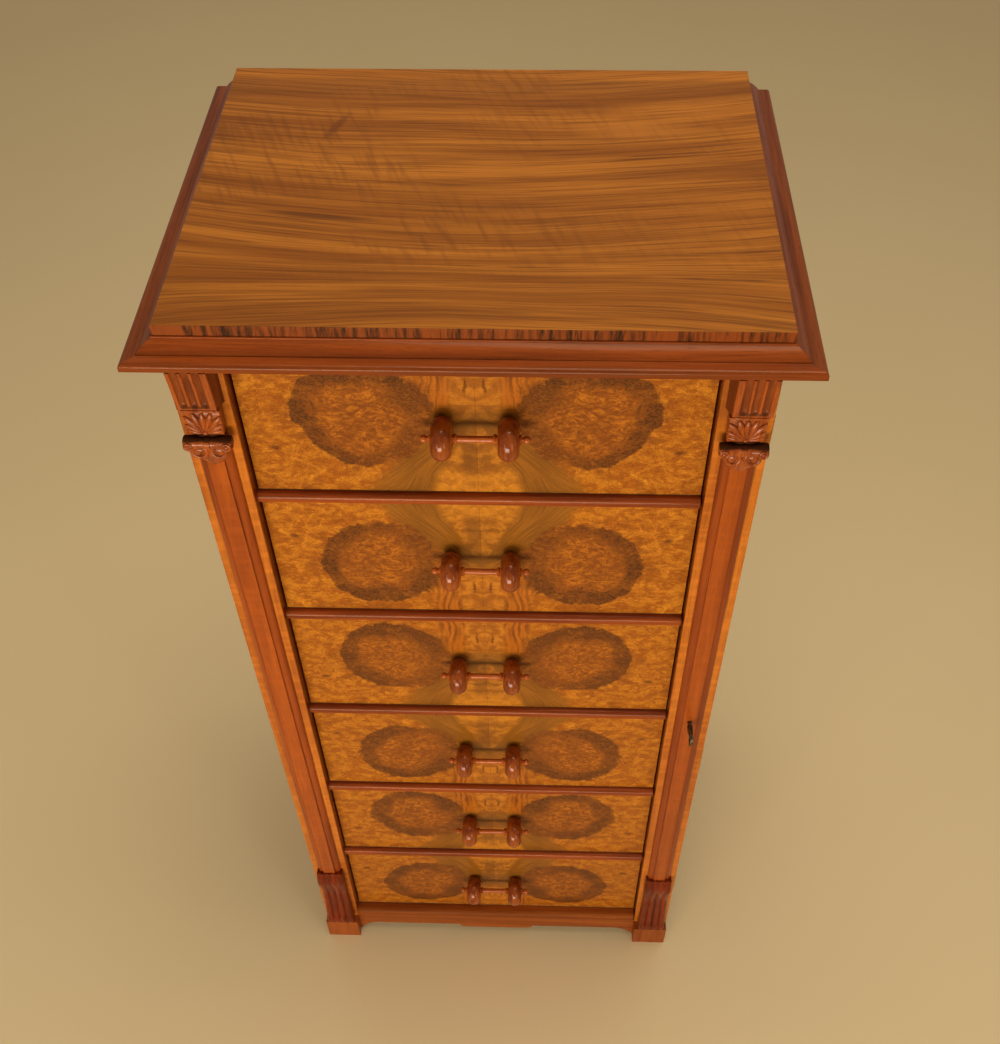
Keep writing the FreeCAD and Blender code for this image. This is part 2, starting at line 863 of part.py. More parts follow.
class Drawer:
    """Sizes and pieces of one drawer, counted from the top."""

    def __init__(self, number):
        self.floor = level(number)
        self.low = self.floor + run_clearance
        self.top = self.floor + opening_height - side_drop
        self.inner = drawer_half - side_thickness
        self.front_back = drawer_set_back + front_thickness
        self.tail_front = drawer_set_back + front_lap
        self.end = drawer_set_back + drawer_length
        self.rear_front = self.end - rear_thickness
        self.panel_low = self.low + panel_rise
        self.panel_top = self.panel_low + panel_thickness
        self.middle = (self.floor + front_bottom_gap
                       + self.floor + opening_height - front_top_gap) / 2

    def front_tails(self):
        """Lapped dovetails at the front end of the right side."""
        return tails(self.inner, drawer_half, self.panel_top, self.top,
                     self.front_back, self.tail_front)

    def rear_tails(self):
        """Through dovetails at the rear end of the right side."""
        return tails(self.inner, drawer_half, self.panel_top, self.top - rear_drop,
                     self.rear_front, self.end)

    def panel(self):
        """Bottom panel in its grooves, from the front to past the rear board."""
        half = self.inner + panel_groove
        return box(-half, half, self.front_back - panel_groove, self.end,
                   self.panel_low, self.panel_top)

    def front(self):
        board = box(-drawer_half, drawer_half, drawer_set_back, self.front_back,
                    self.floor + front_bottom_gap, self.floor + opening_height - front_top_gap)
        for tail in self.front_tails():
            board = board.cut(tail).cut(mirrored(tail))
        board = board.cut(self.panel())
        for peg in self.pegs():
            board = board.cut(peg)
        return board

    def sides(self):
        board = box(self.inner, drawer_half, self.front_back, self.rear_front, self.low, self.top)
        board = fused([board] + self.front_tails() + self.rear_tails())
        return both_sides(board.cut(self.panel()))

    def rear(self):
        board = box(-drawer_half, drawer_half, self.rear_front, self.end,
                    self.panel_top, self.top - rear_drop)
        for tail in self.rear_tails():
            board = board.cut(tail).cut(mirrored(tail))
        return board

    def pegs(self):
        """Round pegs on the backs of the wheels, let into the drawer front."""
        return [cylinder(peg_radius, peg_length, Vector(x, drawer_set_back, self.middle), Y_AXIS)
                for x in (-handle_spacing / 2, handle_spacing / 2)]

    def wheel(self, x):
        """Turned wheel on the handle's axis, flattened to sit on the drawer."""
        half = wheel_thickness / 2

        def at(along, radius):
            return Vector(x + along, handle_y, self.middle + radius)

        edges = chords(at(-half, wheel_cheek_radius), at(0, wheel_radius),
                       at(half, wheel_cheek_radius), wheel_rim_side_count)
        edges.extend([
            line(at(half, wheel_cheek_radius), at(half, rod_radius)),
            line(at(half, rod_radius), at(-half, rod_radius)),
            line(at(-half, rod_radius), at(-half, wheel_cheek_radius)),
        ])
        axis_point = Vector(x, handle_y, self.middle)
        turned = face_from(edges).revolve(axis_point, X_AXIS, 360)
        clear = box(x - wheel_radius, x + wheel_radius, drawer_set_back,
                    drawer_set_back + wheel_radius, self.middle - wheel_radius,
                    self.middle + wheel_radius)
        return turned.cut(clear)

    def rod(self):
        """Turned rod through both wheels, with tapered collars and a ball at each end."""
        outer_face = handle_spacing / 2 + wheel_thickness / 2
        inner_face = handle_spacing / 2 - wheel_thickness / 2
        ball_flat = ball_radius * ball_flat_share

        def at(x, radius):
            return Vector(x, handle_y, self.middle + radius)

        def half(side):
            return [
                (side * (inner_face - rod_collar_length), rod_neck_radius),
                (side * inner_face, rod_collar_radius),
                (side * inner_face, rod_radius),
                (side * outer_face, rod_radius),
                (side * outer_face, rod_collar_radius),
                (side * (outer_face + rod_collar_length), rod_neck_radius),
                (side * (rod_reach - ball_radius), rod_neck_radius),
                (side * (rod_reach - ball_flat), ball_radius),
                (side * (rod_reach + ball_flat), ball_radius),
                (side * (rod_reach + ball_radius), 0),
            ]

        corners = list(reversed(half(-1))) + half(1)
        outline = polygon([at(x, radius) for x, radius in corners])
        return outline.revolve(Vector(0, handle_y, self.middle), X_AXIS, 360)

    def handle(self):
        """Two wheels, each with its peg, and the rod between them."""
        pieces = [self.rod()]
        for x, peg in zip((-handle_spacing / 2, handle_spacing / 2), self.pegs()):
            pieces.append(self.wheel(x).fuse(peg).removeSplitter())
        return pieces


# Saving

def save(name, shapes):
    """Move the solids from the stile faces to the origin and write one file."""
    solids = shapes if isinstance(shapes, list) else [shapes]
    placed = []
    for shape in solids:
        for solid in shape.Solids:
            moved = solid.copy()
            moved.translate(Vector(0, face_y, 0))
            placed.append(moved)
    result = placed[0] if len(placed) == 1 else Part.makeCompound(placed)
    result.exportStep(os.path.join("parts", name + ".step"))


def save_carcase():
    save("side_left", mirrored(side_panel()))
    right = side_panel()
    for sinking in hinge_sinkings():
        right = right.cut(sinking)
    save("side_right", right)
    save("back_boards", back_boards())
    save("front_posts", front_posts())
    save("feet", feet())
    save("divider_rails", divider_rails())
    save("rail_beads", rail_beads())
    save("base_bead", base_bead())
    save("apron", apron())
    save("dust_boards", dust_boards())
    save("drawer_runners", runners_and_guides())
    save("drawer_stops", drawer_stops())
    save("top_board", top_board())
    save("top_moulding_front", top_moulding_front())
    save("top_moulding_sides", both_sides(top_moulding_side()))
    save("top_slab", top_slab())
    save("stile_left", mirrored(stile_board(foot_height, openings_top)))
    save("pilaster_left", mirrored(pilaster()))
    save("corbel_left", mirrored(corbel()))
    save("block_left", mirrored(reeded_block()))
    save("hinges_fixed", [fixed_hinge(z) for z in hinge_heights()])
    save("lock_strike", lock_strike())


def save_door():
    save("stile_right", stile_right())
    save("pilaster_right", pilaster().cut(keyhole(-pilaster_height, 0)))
    save("corbel_right", corbel())
    save("block_right", reeded_block())
    save("hinges_moving", [moving_hinge(z) for z in hinge_heights()])
    save("lock_case", lock_case())
    save("lock_bolt", lock_bolt())
    save("key", key())


def save_drawers():
    for number in range(1, drawer_count + 1):
        drawer = Drawer(number)
        save("drawer_%d_front" % number, drawer.front())
        save("drawer_%d_sides" % number, drawer.sides())
        save("drawer_%d_rear" % number, drawer.rear())
        save("drawer_%d_bottom" % number, drawer.panel())
        save("drawer_%d_handle" % number, drawer.handle())


os.makedirs("parts", exist_ok=True)
save_carcase()
save_door()
save_drawers()
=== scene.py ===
# %% [markdown]
# # A Wellington chest in figured walnut
# The chest is a tall, narrow stack of six drawers between two stiles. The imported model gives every
# board at its true size, so this lesson dresses it: it gives each wood its own grain and polish, and
# it carves and turns the parts that a flat board can't show. Everything is in metres.

# %% Load the frame
import math

import bpy
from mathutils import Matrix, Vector


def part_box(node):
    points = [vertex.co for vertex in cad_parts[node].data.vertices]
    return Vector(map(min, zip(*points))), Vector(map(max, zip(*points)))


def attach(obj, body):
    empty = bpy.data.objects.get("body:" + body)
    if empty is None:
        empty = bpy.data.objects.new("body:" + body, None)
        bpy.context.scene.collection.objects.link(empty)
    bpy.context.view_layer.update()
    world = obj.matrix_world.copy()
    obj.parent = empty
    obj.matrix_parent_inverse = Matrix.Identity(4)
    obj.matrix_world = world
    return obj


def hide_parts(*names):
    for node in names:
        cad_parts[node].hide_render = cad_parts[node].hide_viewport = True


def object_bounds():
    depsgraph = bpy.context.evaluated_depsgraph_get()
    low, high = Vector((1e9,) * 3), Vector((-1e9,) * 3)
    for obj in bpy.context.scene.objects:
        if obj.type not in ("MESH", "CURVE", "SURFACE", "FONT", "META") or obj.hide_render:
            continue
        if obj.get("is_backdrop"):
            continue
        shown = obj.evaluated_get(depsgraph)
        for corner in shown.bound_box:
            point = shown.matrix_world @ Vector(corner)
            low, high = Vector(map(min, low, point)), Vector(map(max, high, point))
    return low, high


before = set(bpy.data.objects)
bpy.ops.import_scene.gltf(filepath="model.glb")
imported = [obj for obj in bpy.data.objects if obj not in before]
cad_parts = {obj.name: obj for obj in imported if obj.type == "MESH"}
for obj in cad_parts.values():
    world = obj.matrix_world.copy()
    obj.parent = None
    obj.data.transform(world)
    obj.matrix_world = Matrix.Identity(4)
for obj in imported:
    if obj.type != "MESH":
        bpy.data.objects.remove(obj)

cad_low, cad_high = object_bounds()
mm = 0.001
print("the chest measures", [round(size / mm, 1) for size in cad_high - cad_low], "mm")

# %% [markdown]
# ## The camera
# The photograph was taken by someone who stood in front of the chest and looked down on it. The
# place, the turn and the lens were worked out from the corners of the top, the upright edges and the
# rails, so the camera is simply set to them.

# %% Set the camera
photo_width = 1000.0
focal_pixels = 1217.7
centre_pixel = 509.4
camera_place = (0.0591, -0.9556, 1.8600)
camera_turn = (40.882, 0.523, 1.629)

lens = bpy.data.cameras.new("photo_camera")
lens.sensor_fit = "HORIZONTAL"
lens.lens = lens.sensor_width * focal_pixels / photo_width
lens.shift_x = 0.5 - centre_pixel / photo_width
camera = bpy.data.objects.new("photo_camera", lens)
camera.location = camera_place
camera.rotation_euler = [math.radians(angle) for angle in camera_turn]
bpy.context.scene.collection.objects.link(camera)
bpy.context.scene.camera = camera
bpy.context.scene.view_settings.view_transform = "Standard"
print("lens", round(lens.lens, 2), "mm")

# %% [markdown]
# ## A workshop for wood
# Every finish here is a small network of nodes. Linking sockets one by one hides the idea, so two
# small classes do it: a Wire is an output socket on which Python's signs add Math nodes, and a Shop
# is a new material with one method that makes any node. A Wire knows the Shop that it lies in.

# %% Wires and shops


class Wire:
    """An output socket. An expression on it adds its Math nodes."""

    def __init__(self, shop, socket):
        self.shop = shop
        self.socket = socket

    def math(self, operation, *others):
        return self.shop.add("ShaderNodeMath", {"operation": operation}, (self, *others))

    def __rsub__(self, other):
        return self.shop.add("ShaderNodeMath", {"operation": "SUBTRACT"}, (other, self))

    def __abs__(self):
        return self.math("ABSOLUTE")


signs = {"add": "ADD", "radd": "ADD", "sub": "SUBTRACT", "mul": "MULTIPLY", "truediv": "DIVIDE",
         "pow": "POWER", "mod": "MODULO"}
for sign, operation in signs.items():
    setattr(Wire, "__%s__" % sign, lambda wire, other, name=operation: wire.math(name, other))


class Shop:
    """A new material, and the nodes that are made in it."""

    def __init__(self, name):
        self.material = bpy.data.materials.new(name)
        self.material.use_nodes = True
        self.nodes = self.material.node_tree.nodes
        self.links = self.material.node_tree.links
        self.shader = self.nodes["Principled BSDF"]
        self.place = self.add("ShaderNodeTexCoord", {}, {}, "Object")

    def add(self, kind, settings, values, output=0):
        node = self.nodes.new(kind)
        for key, value in settings.items():
            setattr(node, key, value)
        pairs = values.items() if isinstance(values, dict) else enumerate(values)
        for key, value in pairs:
            self.feed(node.inputs[key], value)
        return Wire(self, node.outputs[output])

    def feed(self, socket, value):
        if isinstance(value, Wire):
            self.links.new(value.socket, socket)
        else:
            socket.default_value = value

    def finish(self, **values):
        for key, value in values.items():
            self.feed(self.shader.inputs[key.replace("_", " ")], value)
        return self.material


# %% [markdown]
# ## Tools that every finish uses
# Wood is noise that has been stretched along the grain. These helpers read such a grain at a place,
# turn a value into a soft step up or a fade down, and mix two colours. Stains go over a wood one
# after another, each with its share. Colours are written as a painter reads them off a screen, from
# 0 to 255, and changed to the renderer's linear values.

# %% Helpers for the finishes


def paint(red, green, blue):
    def linear(level):
        share = level / 255
        return share / 12.92 if share <= 0.04045 else ((share + 0.055) / 1.055) ** 2.4
    return (linear(red), linear(green), linear(blue), 1.0)


def shaded(colour, share):
    return tuple(min(1.0, level * share) for level in colour[:3]) + (1.0,)


def parts(vector):
    return [vector.shop.add("ShaderNodeSeparateXYZ", {}, [vector], axis) for axis in "XYZ"]


def joined(x, y, z):
    return x.shop.add("ShaderNodeCombineXYZ", {}, (x, y, z))


def stretched(vector, factors):
    return vector.shop.add("ShaderNodeVectorMath", {"operation": "MULTIPLY"}, (vector, factors))


def moved(vector, push):
    return vector.shop.add("ShaderNodeVectorMath", {"operation": "ADD"}, (vector, push))


def noise(vector, detail=2.0, rough=0.5, output=0):
    values = {"Vector": vector, "Scale": 1.0, "Detail": detail, "Roughness": rough}
    return vector.shop.add("ShaderNodeTexNoise", {}, values, output)


def grain(vector, factors, detail=2.0, rough=0.5, output=0):
    return noise(stretched(vector, factors), detail, rough, output)


def step(value, low, high):
    values = {"Value": value, "From Min": low, "From Max": high}
    return value.shop.add("ShaderNodeMapRange", {"interpolation_type": "SMOOTHSTEP"}, values)


def fade(value, low, high):
    return 1 - step(value, low, high)


def length(x, y):
    return (x * x + y * y) ** 0.5


def greatest(value, *others):
    for other in others:
        value = value.math("MAXIMUM", other)
    return value


def mixed(share, first, second):
    return share.shop.add("ShaderNodeMix", {"data_type": "RGBA"}, {0: share, 6: first, 7: second}, 2)


def stained(wood, *stains):
    for share, colour in stains:
        wood = mixed(share, wood, colour)
    return wood


def bumped(height, distance, strength, **under):
    values = {"Height": height, "Distance": distance, "Strength": strength, **under}
    return height.shop.add("ShaderNodeBump", {}, values)


def soft_arris(shop, radius):
    return shop.add("ShaderNodeBevel", {"samples": 4}, {"Radius": radius})


# %% [markdown]
# ## French polish
# The polish on old walnut is shellac: orange, thin and rubbed into the wood, so what it mirrors is
# weak and warm. A thick clear coat would lay a grey veil over the dark woods. Here the shader's own
# gloss is tinted with the colour of shellac, and only a thin coat lies over it for the sharp glints.

# %% Rub on the polish
shellac = (1.0, 0.56, 0.22, 1.0)
coat_rough = 0.05


def polished(colour, rough, normal, coat=0.08, gloss=0.22):
    return colour.shop.finish(Base_Color=colour, Roughness=rough, Normal=normal, Coat_Weight=coat,
                              Coat_Roughness=coat_rough, Specular_IOR_Level=gloss, Specular_Tint=shellac)


# %% [markdown]
# ## Straight-grained walnut
# Rails, mouldings, stiles and sides are cut from straight-grained walnut. The real board shows broad
# light and dark bands, thin dark threads, fine fibres and short dark pores. Each is one noise,
# stretched along the board. The ripple is a noise too, but it runs across the grain and catches the
# light on figured boards.

# %% Make straight-grained woods


def along(axis, across, lengthwise):
    return tuple(lengthwise if name == axis else across for name in "xyz")


def board_colour(shop, axis, light, dark, streak=0.5, ripple=0.0, band=70.0, seed=0.0):
    light, dark = paint(*light), paint(*dark)
    place = moved(shop.place, (seed, seed, seed))
    wander = grain(place, along(axis, 9.0, 2.2), 1.0, output=1)
    flow = moved(place, stretched(wander, (0.02, 0.02, 0.02)))
    figure = step(grain(flow, along(axis, band, band / 26), 4.0, 0.6), 0.34, 0.68)
    thread = step(grain(flow, along(axis, band * 5, band / 9), 3.0, 0.6), 0.56, 0.72)
    fibres = grain(flow, along(axis, 1100.0, 26.0))
    pore = step(grain(place, along(axis, 1500.0, 75.0), 1.0), 0.63, 0.74)
    colour = stained(mixed(figure, light, dark),
                     (thread * streak, shaded(dark, 0.42)),
                     ((fibres - 0.5) * 0.9 + 0.06, shaded(dark, 0.55)),
                     (pore * 0.5, shaded(dark, 0.3)))
    if ripple:
        ripples = grain(flow, along(axis, 14.0, 150.0), 1.0)
        colour = mixed(step(ripples, 0.45, 0.68) * ripple, colour, shaded(light, 1.5))
    return colour, figure, pore


def polished_board(name, axis, light, dark, streak=0.5, ripple=0.0, band=70.0, seed=0.0, arris=0.0006,
                   coat=0.08, rough=0.26, dark_below=None):
    shop = Shop(name)
    colour, figure, pore = board_colour(shop, axis, light, dark, streak, ripple, band, seed)
    if dark_below:
        height = parts(shop.place)[2]
        below = fade(height, dark_below - 0.3 * mm, dark_below + 0.3 * mm)
        colour = mixed(below * 0.4, colour, shaded(paint(*dark), 0.4))
    normal = bumped(1 - pore, 0.00005, 0.5, Normal=soft_arris(shop, arris))
    return polished(colour, rough + figure * 0.08, normal, coat)


# %% [markdown]
# ## The woods of this chest
# Each member was cut for its place, so the colours differ: darker red beads, red-brown carved blocks,
# and a red-brown moulding round the top with a darker fillet at its foot. The grain follows the
# length of each member. The inside is plain: pale hardwood drawer linings and pine boards that were
# never polished.

# %% Make the plain woods
moulding_fillet = 7.2 * mm
fillet_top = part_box("top_moulding_front")[0].z + moulding_fillet
finishes = {
    "moulding_walnut": polished_board("polished_moulding", "x", (150, 66, 19), (114, 47, 14), 0.4,
                                      band=90.0, arris=0.0008, dark_below=fillet_top),
    "bead_walnut": polished_board("polished_beads", "x", (150, 64, 19), (110, 41, 12), 0.4, band=120.0),
    "carved_walnut": polished_board("polished_blocks", "z", (124, 38, 8), (88, 25, 6), 0.4,
                                    band=160.0, arris=0.0005, coat=0.05),
    "carcase_walnut": polished_board("polished_sides", "z", (150, 78, 26), (108, 50, 17), 0.5, 0.1,
                                     band=36.0, coat=0.0, rough=0.44),
    "drawer_lining": polished_board("waxed_linings", "y", (190, 150, 96), (164, 122, 72), 0.25,
                                    coat=0.0, rough=0.5),
    "carcase_pine": polished_board("bare_pine", "z", (192, 150, 98), (162, 116, 68), 0.5,
                                   band=48.0, coat=0.0, rough=0.6),
}
print(len(finishes), "finishes made")

# %% [markdown]
# ## The top
# The top is one wide board with its grain from side to side. Dark growth lines sweep across it in
# shallow curves, and ripples cross the grain on the left. Its front edge is crossbanded: short
# pieces of a wood striped orange and nearly black, with the grain standing upright. The top and the
# edge are one board, so one material changes to the second wood where the place is on the edge.

# %% Make the top's finish
slab_low, slab_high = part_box("top_slab")


def spot(x, y, middle, half_size, lean=0.0):
    over = (y - middle[1]) / half_size[1]
    beside = (x - middle[0] - (y - middle[1]) * lean) / half_size[0]
    return fade(length(beside, over), 0.35, 1.2)


def top_finish():
    shop = Shop("polished_top")
    x, y, z = parts(shop.place)
    back = slab_high.y

    # the growth lines sag in the middle at the back and rise there near the front
    front = fade(y, -0.16, -0.05)
    sag = (1 - x * x * 14.0) * (0.026 - front * 0.05)
    sweep = grain(shop.place, (2.6, 3.4, 0.0), 1.0)
    bow = y + sag + (sweep - 0.5) * 0.04
    broad = noise(joined(x * 1.6, bow * 34.0, 3.7), 3.0, 0.6)
    fine = noise(joined(x * 5.0, bow * 260.0, 1.3), 3.0, 0.65)
    hair = noise(joined(x * 9.0, bow * 640.0, 6.1), 2.0, 0.6)
    gold = stained(mixed(step(broad, 0.34, 0.66), paint(184, 107, 32), paint(142, 76, 20)),
                   (step(fine, 0.46, 0.66) * 0.6, paint(106, 54, 16)),
                   (step(hair, 0.5, 0.7) * 0.55, paint(92, 46, 14)))

    # dark streaks that swell and taper, in a few lanes only, two dark spots and a pale one
    streaks = noise(joined(x * 3.4, bow * 74.0, 8.1), 5.0, 0.62)
    lanes = noise(joined(x * 3.0, bow * 9.0, 3.3), 1.0)
    gold = stained(gold,
                   (step(streaks, 0.59, 0.68) * step(lanes, 0.44, 0.58) * 0.62, paint(84, 40, 14)),
                   (spot(x, bow, (-0.15, -0.012), (0.06, 0.0045)) * 0.75, paint(86, 42, 16)),
                   (spot(x, y, (-0.148, back - 0.112), (0.006, 0.026), 0.4) * 0.55, paint(96, 44, 18)),
                   (spot(x, y, (0.145, back - 0.114), (0.07, 0.018)) * 0.5, paint(190, 112, 38)))

    # the ripple across the grain, strongest at the left, and a dark band near the back
    slant = noise(joined(x * 130.0 + y * 50.0, bow * 20.0, 5.0), 1.0)
    rippled = grain(shop.place, (5.0, 7.0, 0.0), 1.0)
    zone = (1 - step(x, -0.05, 0.2) * 0.6) * step(rippled, 0.4, 0.6) * (1 - front)
    fibres = noise(joined(x * 40.0, bow * 1500.0, 0.0), 1.0)
    back_band = step(y + (sweep - 0.5) * 0.02, back - 0.075, back - 0.03)
    back_band = back_band * fade(y, back - 0.024, back - 0.018)
    gold = stained(gold,
                   (step(slant, 0.45, 0.7) * zone * 0.42, paint(112, 57, 18)),
                   ((fibres - 0.5) * 0.4 + 0.03, paint(100, 52, 20)),
                   (back_band * 0.34, paint(100, 54, 20)))

    # the crossbanded front edge
    stripe = noise(joined(x * 150.0, 0.0, z * 14.0), 4.0, 0.75)
    patch = noise(joined(x * 22.0, 0.0, 2.0))
    banding = mixed(step(stripe * 0.65 + patch * 0.35, 0.40, 0.56), paint(38, 15, 6), paint(132, 58, 16))
    edge = fade(y, slab_low.y + 0.3 * mm, slab_low.y + 0.9 * mm)
    wave = grain(shop.place, (22.0, 22.0, 22.0), 1.0)
    normal = bumped(wave, 0.0004, 0.25, Normal=soft_arris(shop, 0.0008))
    return polished(mixed(edge, gold, banding), 0.42 + step(fine, 0.4, 0.8) * 0.08, normal, coat=0.0)


finishes["figured_walnut"] = top_finish()

# %% [markdown]
# ## The burr veneer
# The drawer fronts are the showpiece. Leaves of burr walnut are cut one after another from a root and
# opened like a book, so the right half mirrors the left, and each drawer is the one above turned
# upside down. Every leaf has a ragged dark ring round a speckled burr, gold wood outside it, and a
# green-gold fan of straight grain beside the seam. The place is folded in the same way as the
# veneer: the distance from the seam, and the height from the drawer's middle with its sign changed
# on every other drawer. The pattern is then written once, in millimetres.

# %% Make the burr veneer
bottom_low, bottom_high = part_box("drawer_6_front")
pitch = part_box("drawer_5_front")[0].z - bottom_low.z
front_height = bottom_high.z - bottom_low.z
face_y = bottom_low.y
ring_out = 103.0
ring_up = 9.0
ring_half_width = 66.0
ring_half_height = 65.0
knots = ((8.5, 48.0, 1.3, 9.0), (186.0, -31.0, 5.0, 3.0))


def folded_place(shop):
    x, y, z = parts(shop.place)
    storey = ((z - bottom_low.z) / pitch).math("FLOOR")
    over = z - (bottom_low.z + front_height / 2) - storey * pitch
    flip = (storey % 2) * 2 - 1
    return x, y, abs(x) / mm, over * flip / mm, storey


def burr_finish():
    shop = Shop("polished_burr")
    x, y, across, up, storey = folded_place(shop)
    leaf = joined(across, up, storey * 0.35)
    drift_x, drift_y, drift_z = parts(grain(leaf, (0.022, 0.022, 1.0), output=1))
    curl = grain(leaf, (0.06, 0.06, 1.0), output=1)
    curled = moved(leaf, stretched(curl, (18.0, 14.0, 0.0)))
    rag = grain(leaf, (0.13, 0.13, 1.0), 4.0, 0.65)
    cloud = grain(leaf, (0.03, 0.045, 1.0))
    mottle = grain(curled, (0.08, 0.11, 1.0), 3.0, 0.65)
    cells = grain(curled, (0.16, 0.24, 1.0), 4.0, 0.7)
    flame = grain(curled, (0.17, 0.30, 1.0), 4.0, 0.75)
    grit = grain(curled, (0.42, 0.7, 1.0), 3.0, 0.7)
    squiggle = fade(abs(flame - 0.5), 0.006, 0.045)

    # how far out of the ring's middle a place lies: 1 is the ring's outer edge
    out = (across - ring_out + (drift_x - 0.5) * 22) / ring_half_width
    rise = (up - ring_up + (drift_y - 0.5) * 18) / ring_half_height
    corner = greatest(out * 0.68 - rise * 0.73, 0.0)
    edge = length(out, rise) + corner * corner * 0.14 + (rag - 0.5) * 0.22 + (grit - 0.5) * 0.07

    # gold wood outside the ring, with curled grain and bristles
    angle = rise.math("ARCTAN2", out)
    spokes = noise(joined(angle * 11.0 + (rag - 0.5) * 3, edge * 1.4, 4.0), 3.0, 0.6)
    bristle = step(spokes, 0.5, 0.68) * fade(edge, 1.02, 1.5) * 0.5
    gold = stained(mixed(step(mottle, 0.36, 0.62), paint(192, 112, 25), paint(156, 80, 16)),
                   (step(cloud, 0.5, 0.72) * 0.5, paint(132, 66, 15)),
                   (squiggle * 0.5, paint(100, 48, 11)),
                   (step(grit, 0.52, 0.68) * 0.55, paint(96, 46, 11)),
                   (step(flame, 0.58, 0.7) * 0.5, paint(220, 146, 40)),
                   (bristle * step(corner, 0.1, 0.8), paint(108, 54, 15)))

    # the fan of straight grain that opens from the handle to the wide edge
    drop = ring_up + 3.0 - up
    lean = across.math("ARCTAN2", drop) + (drift_z - 0.5) * 0.16
    ray = length(across, drop)
    hairs = noise(joined(lean * 48.0, ray * 0.02, 6.0), 3.0, 0.6)
    pale = step(0.0 - up, 50.0, 80.0) * fade(across, 30.0, 60.0)
    near_seam = stained(mixed(step(mottle, 0.36, 0.6), paint(188, 112, 28), paint(142, 80, 20)),
                        (squiggle * 0.35, paint(100, 54, 14)),
                        (pale * (0.2 + step(flame, 0.4, 0.6) * 0.45), paint(206, 126, 32)))
    olive = mixed(step(hairs, 0.36, 0.6), paint(142, 83, 21), paint(116, 67, 17))
    smooth_side = step(lean + (rag - 0.5) * 0.12, 0.36, 0.46)
    strip = fade(across, 11.0, 17.0) * fade(0.0 - up, 48.0, 78.0)
    olive = stained(mixed(smooth_side, near_seam, olive),
                    (step(hairs, 0.56, 0.74) * 0.34, paint(92, 50, 14)),
                    (step(grit, 0.54, 0.7) * 0.2, paint(92, 50, 14)),
                    (strip * (0.62 - step(x, -0.0002, 0.0002) * 0.42), paint(104, 58, 18)))
    fan = fade(lean + ray * 0.0026 + (rag - 0.5) * 0.1, 1.1, 1.22)

    # the curtain of upright flames between the seam and the ring, on the narrow side
    flames = noise(joined(across * 0.28 + (drift_x - 0.5) * 5, up * 0.02, 9.0), 3.0, 0.6)
    curtain = stained(mixed(step(flames, 0.4, 0.68), paint(174, 92, 22), paint(108, 52, 14)),
                      (step(grit, 0.5, 0.68) * 0.4, paint(104, 50, 14)))
    centre = mixed(step(mottle, 0.36, 0.62), paint(184, 107, 28), paint(144, 78, 20))
    curtain = mixed(step(across + (rag - 0.5) * 16, 18.0, 28.0), centre, curtain)
    narrow_side = step(up, 2.0, 26.0) * fade(across, 40.0, 58.0)
    # painted shade at the height of the handle, near the seam
    shade = fade(abs(up - ring_up), 4.0, 22.0) * fade(across, 36.0, 52.0)

    # the ragged dark ring, the burr inside it and a swirl of dark grain beside the handle
    inner = stained(mixed(step(cells, 0.38, 0.6), paint(184, 102, 23), paint(126, 61, 15)),
                    (step(mottle, 0.48, 0.6) * 0.45, paint(108, 52, 14)),
                    (step(cloud, 0.42, 0.62) * 0.4, paint(122, 60, 16)),
                    (squiggle * 0.5, paint(96, 47, 13)),
                    (step(grit, 0.52, 0.68) * 0.5, paint(98, 48, 14)))
    inside = 0.66 + (drift_z - 0.5) * 0.6 + (cells - 0.5) * 0.6 + (mottle - 0.5) * 0.5
    band = step(edge - inside, -0.03, 0.08) * fade(edge, 0.985, 1.015)
    weak = step(0.0 - out * 0.85 - rise * 0.52, 0.15, 0.85)
    patchy = step(mottle + cloud, 0.84, 1.12) * 0.35 + 0.65
    dark = mixed(step(grit, 0.42, 0.6), paint(110, 57, 17), paint(70, 35, 11))
    swirl = length((across - 60.0) / 25.0, (up - 36.0) / 24.0) + (cells - 0.5) * 1.8

    # lay them over each other, then the knots and the seam
    wood = stained(gold,
                   (fan * 0.92, olive),
                   (narrow_side * 0.9, curtain),
                   (shade * 0.6, paint(114, 68, 20)),
                   (fade(edge, 0.95, 1.01) * 0.94, inner),
                   (band * (1 - weak * 0.42) * patchy, dark),
                   (fade(swirl, 0.4, 1.1) * 0.55, dark))
    for knot_out, knot_up, half_width, half_height in knots:
        beside = (across - knot_out + (rag - 0.5) * 9) / half_width
        over = (up - knot_up + (grit - 0.5) * 6) / half_height
        wood = mixed(fade(length(beside, over), 0.5, 1.5) * 0.7, wood, paint(74, 34, 12))
    wood = mixed(fade(across, 0.12, 0.5) * 0.4, wood, paint(70, 36, 14))

    # the board under the veneer shows on the edges and the inside
    board = board_colour(shop, "x", (178, 138, 90), (146, 104, 62), 0.3)[0]
    on_face = fade(y, face_y + 0.5 * mm, face_y + 0.9 * mm)
    wave = bumped(grain(shop.place, (26.0, 26.0, 26.0), 1.0), 0.0003, 0.25)
    return polished(mixed(on_face, board, wood), 0.5 - on_face * 0.14, wave, on_face * 0.04, 0.16)


finishes["burr_walnut"] = burr_finish()
print("veneer folded every", round(pitch / mm, 1), "mm")

# %% [markdown]
# ## The stiles
# The stiles are golden walnut in front. Their inner sides, beside the drawers, frame the veneer in
# dark red-brown, partly their own wood and partly painted shade, which stops just behind the corner.
# One step on the size of x and one on the depth change one colour to the other. High up, shade is
# painted into the gold beside the corbels.

# %% Make the stiles' finish
stile_inner, stile_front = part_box("stile_right")[0].xy
shade_from, shade_full = 1.096, 1.13


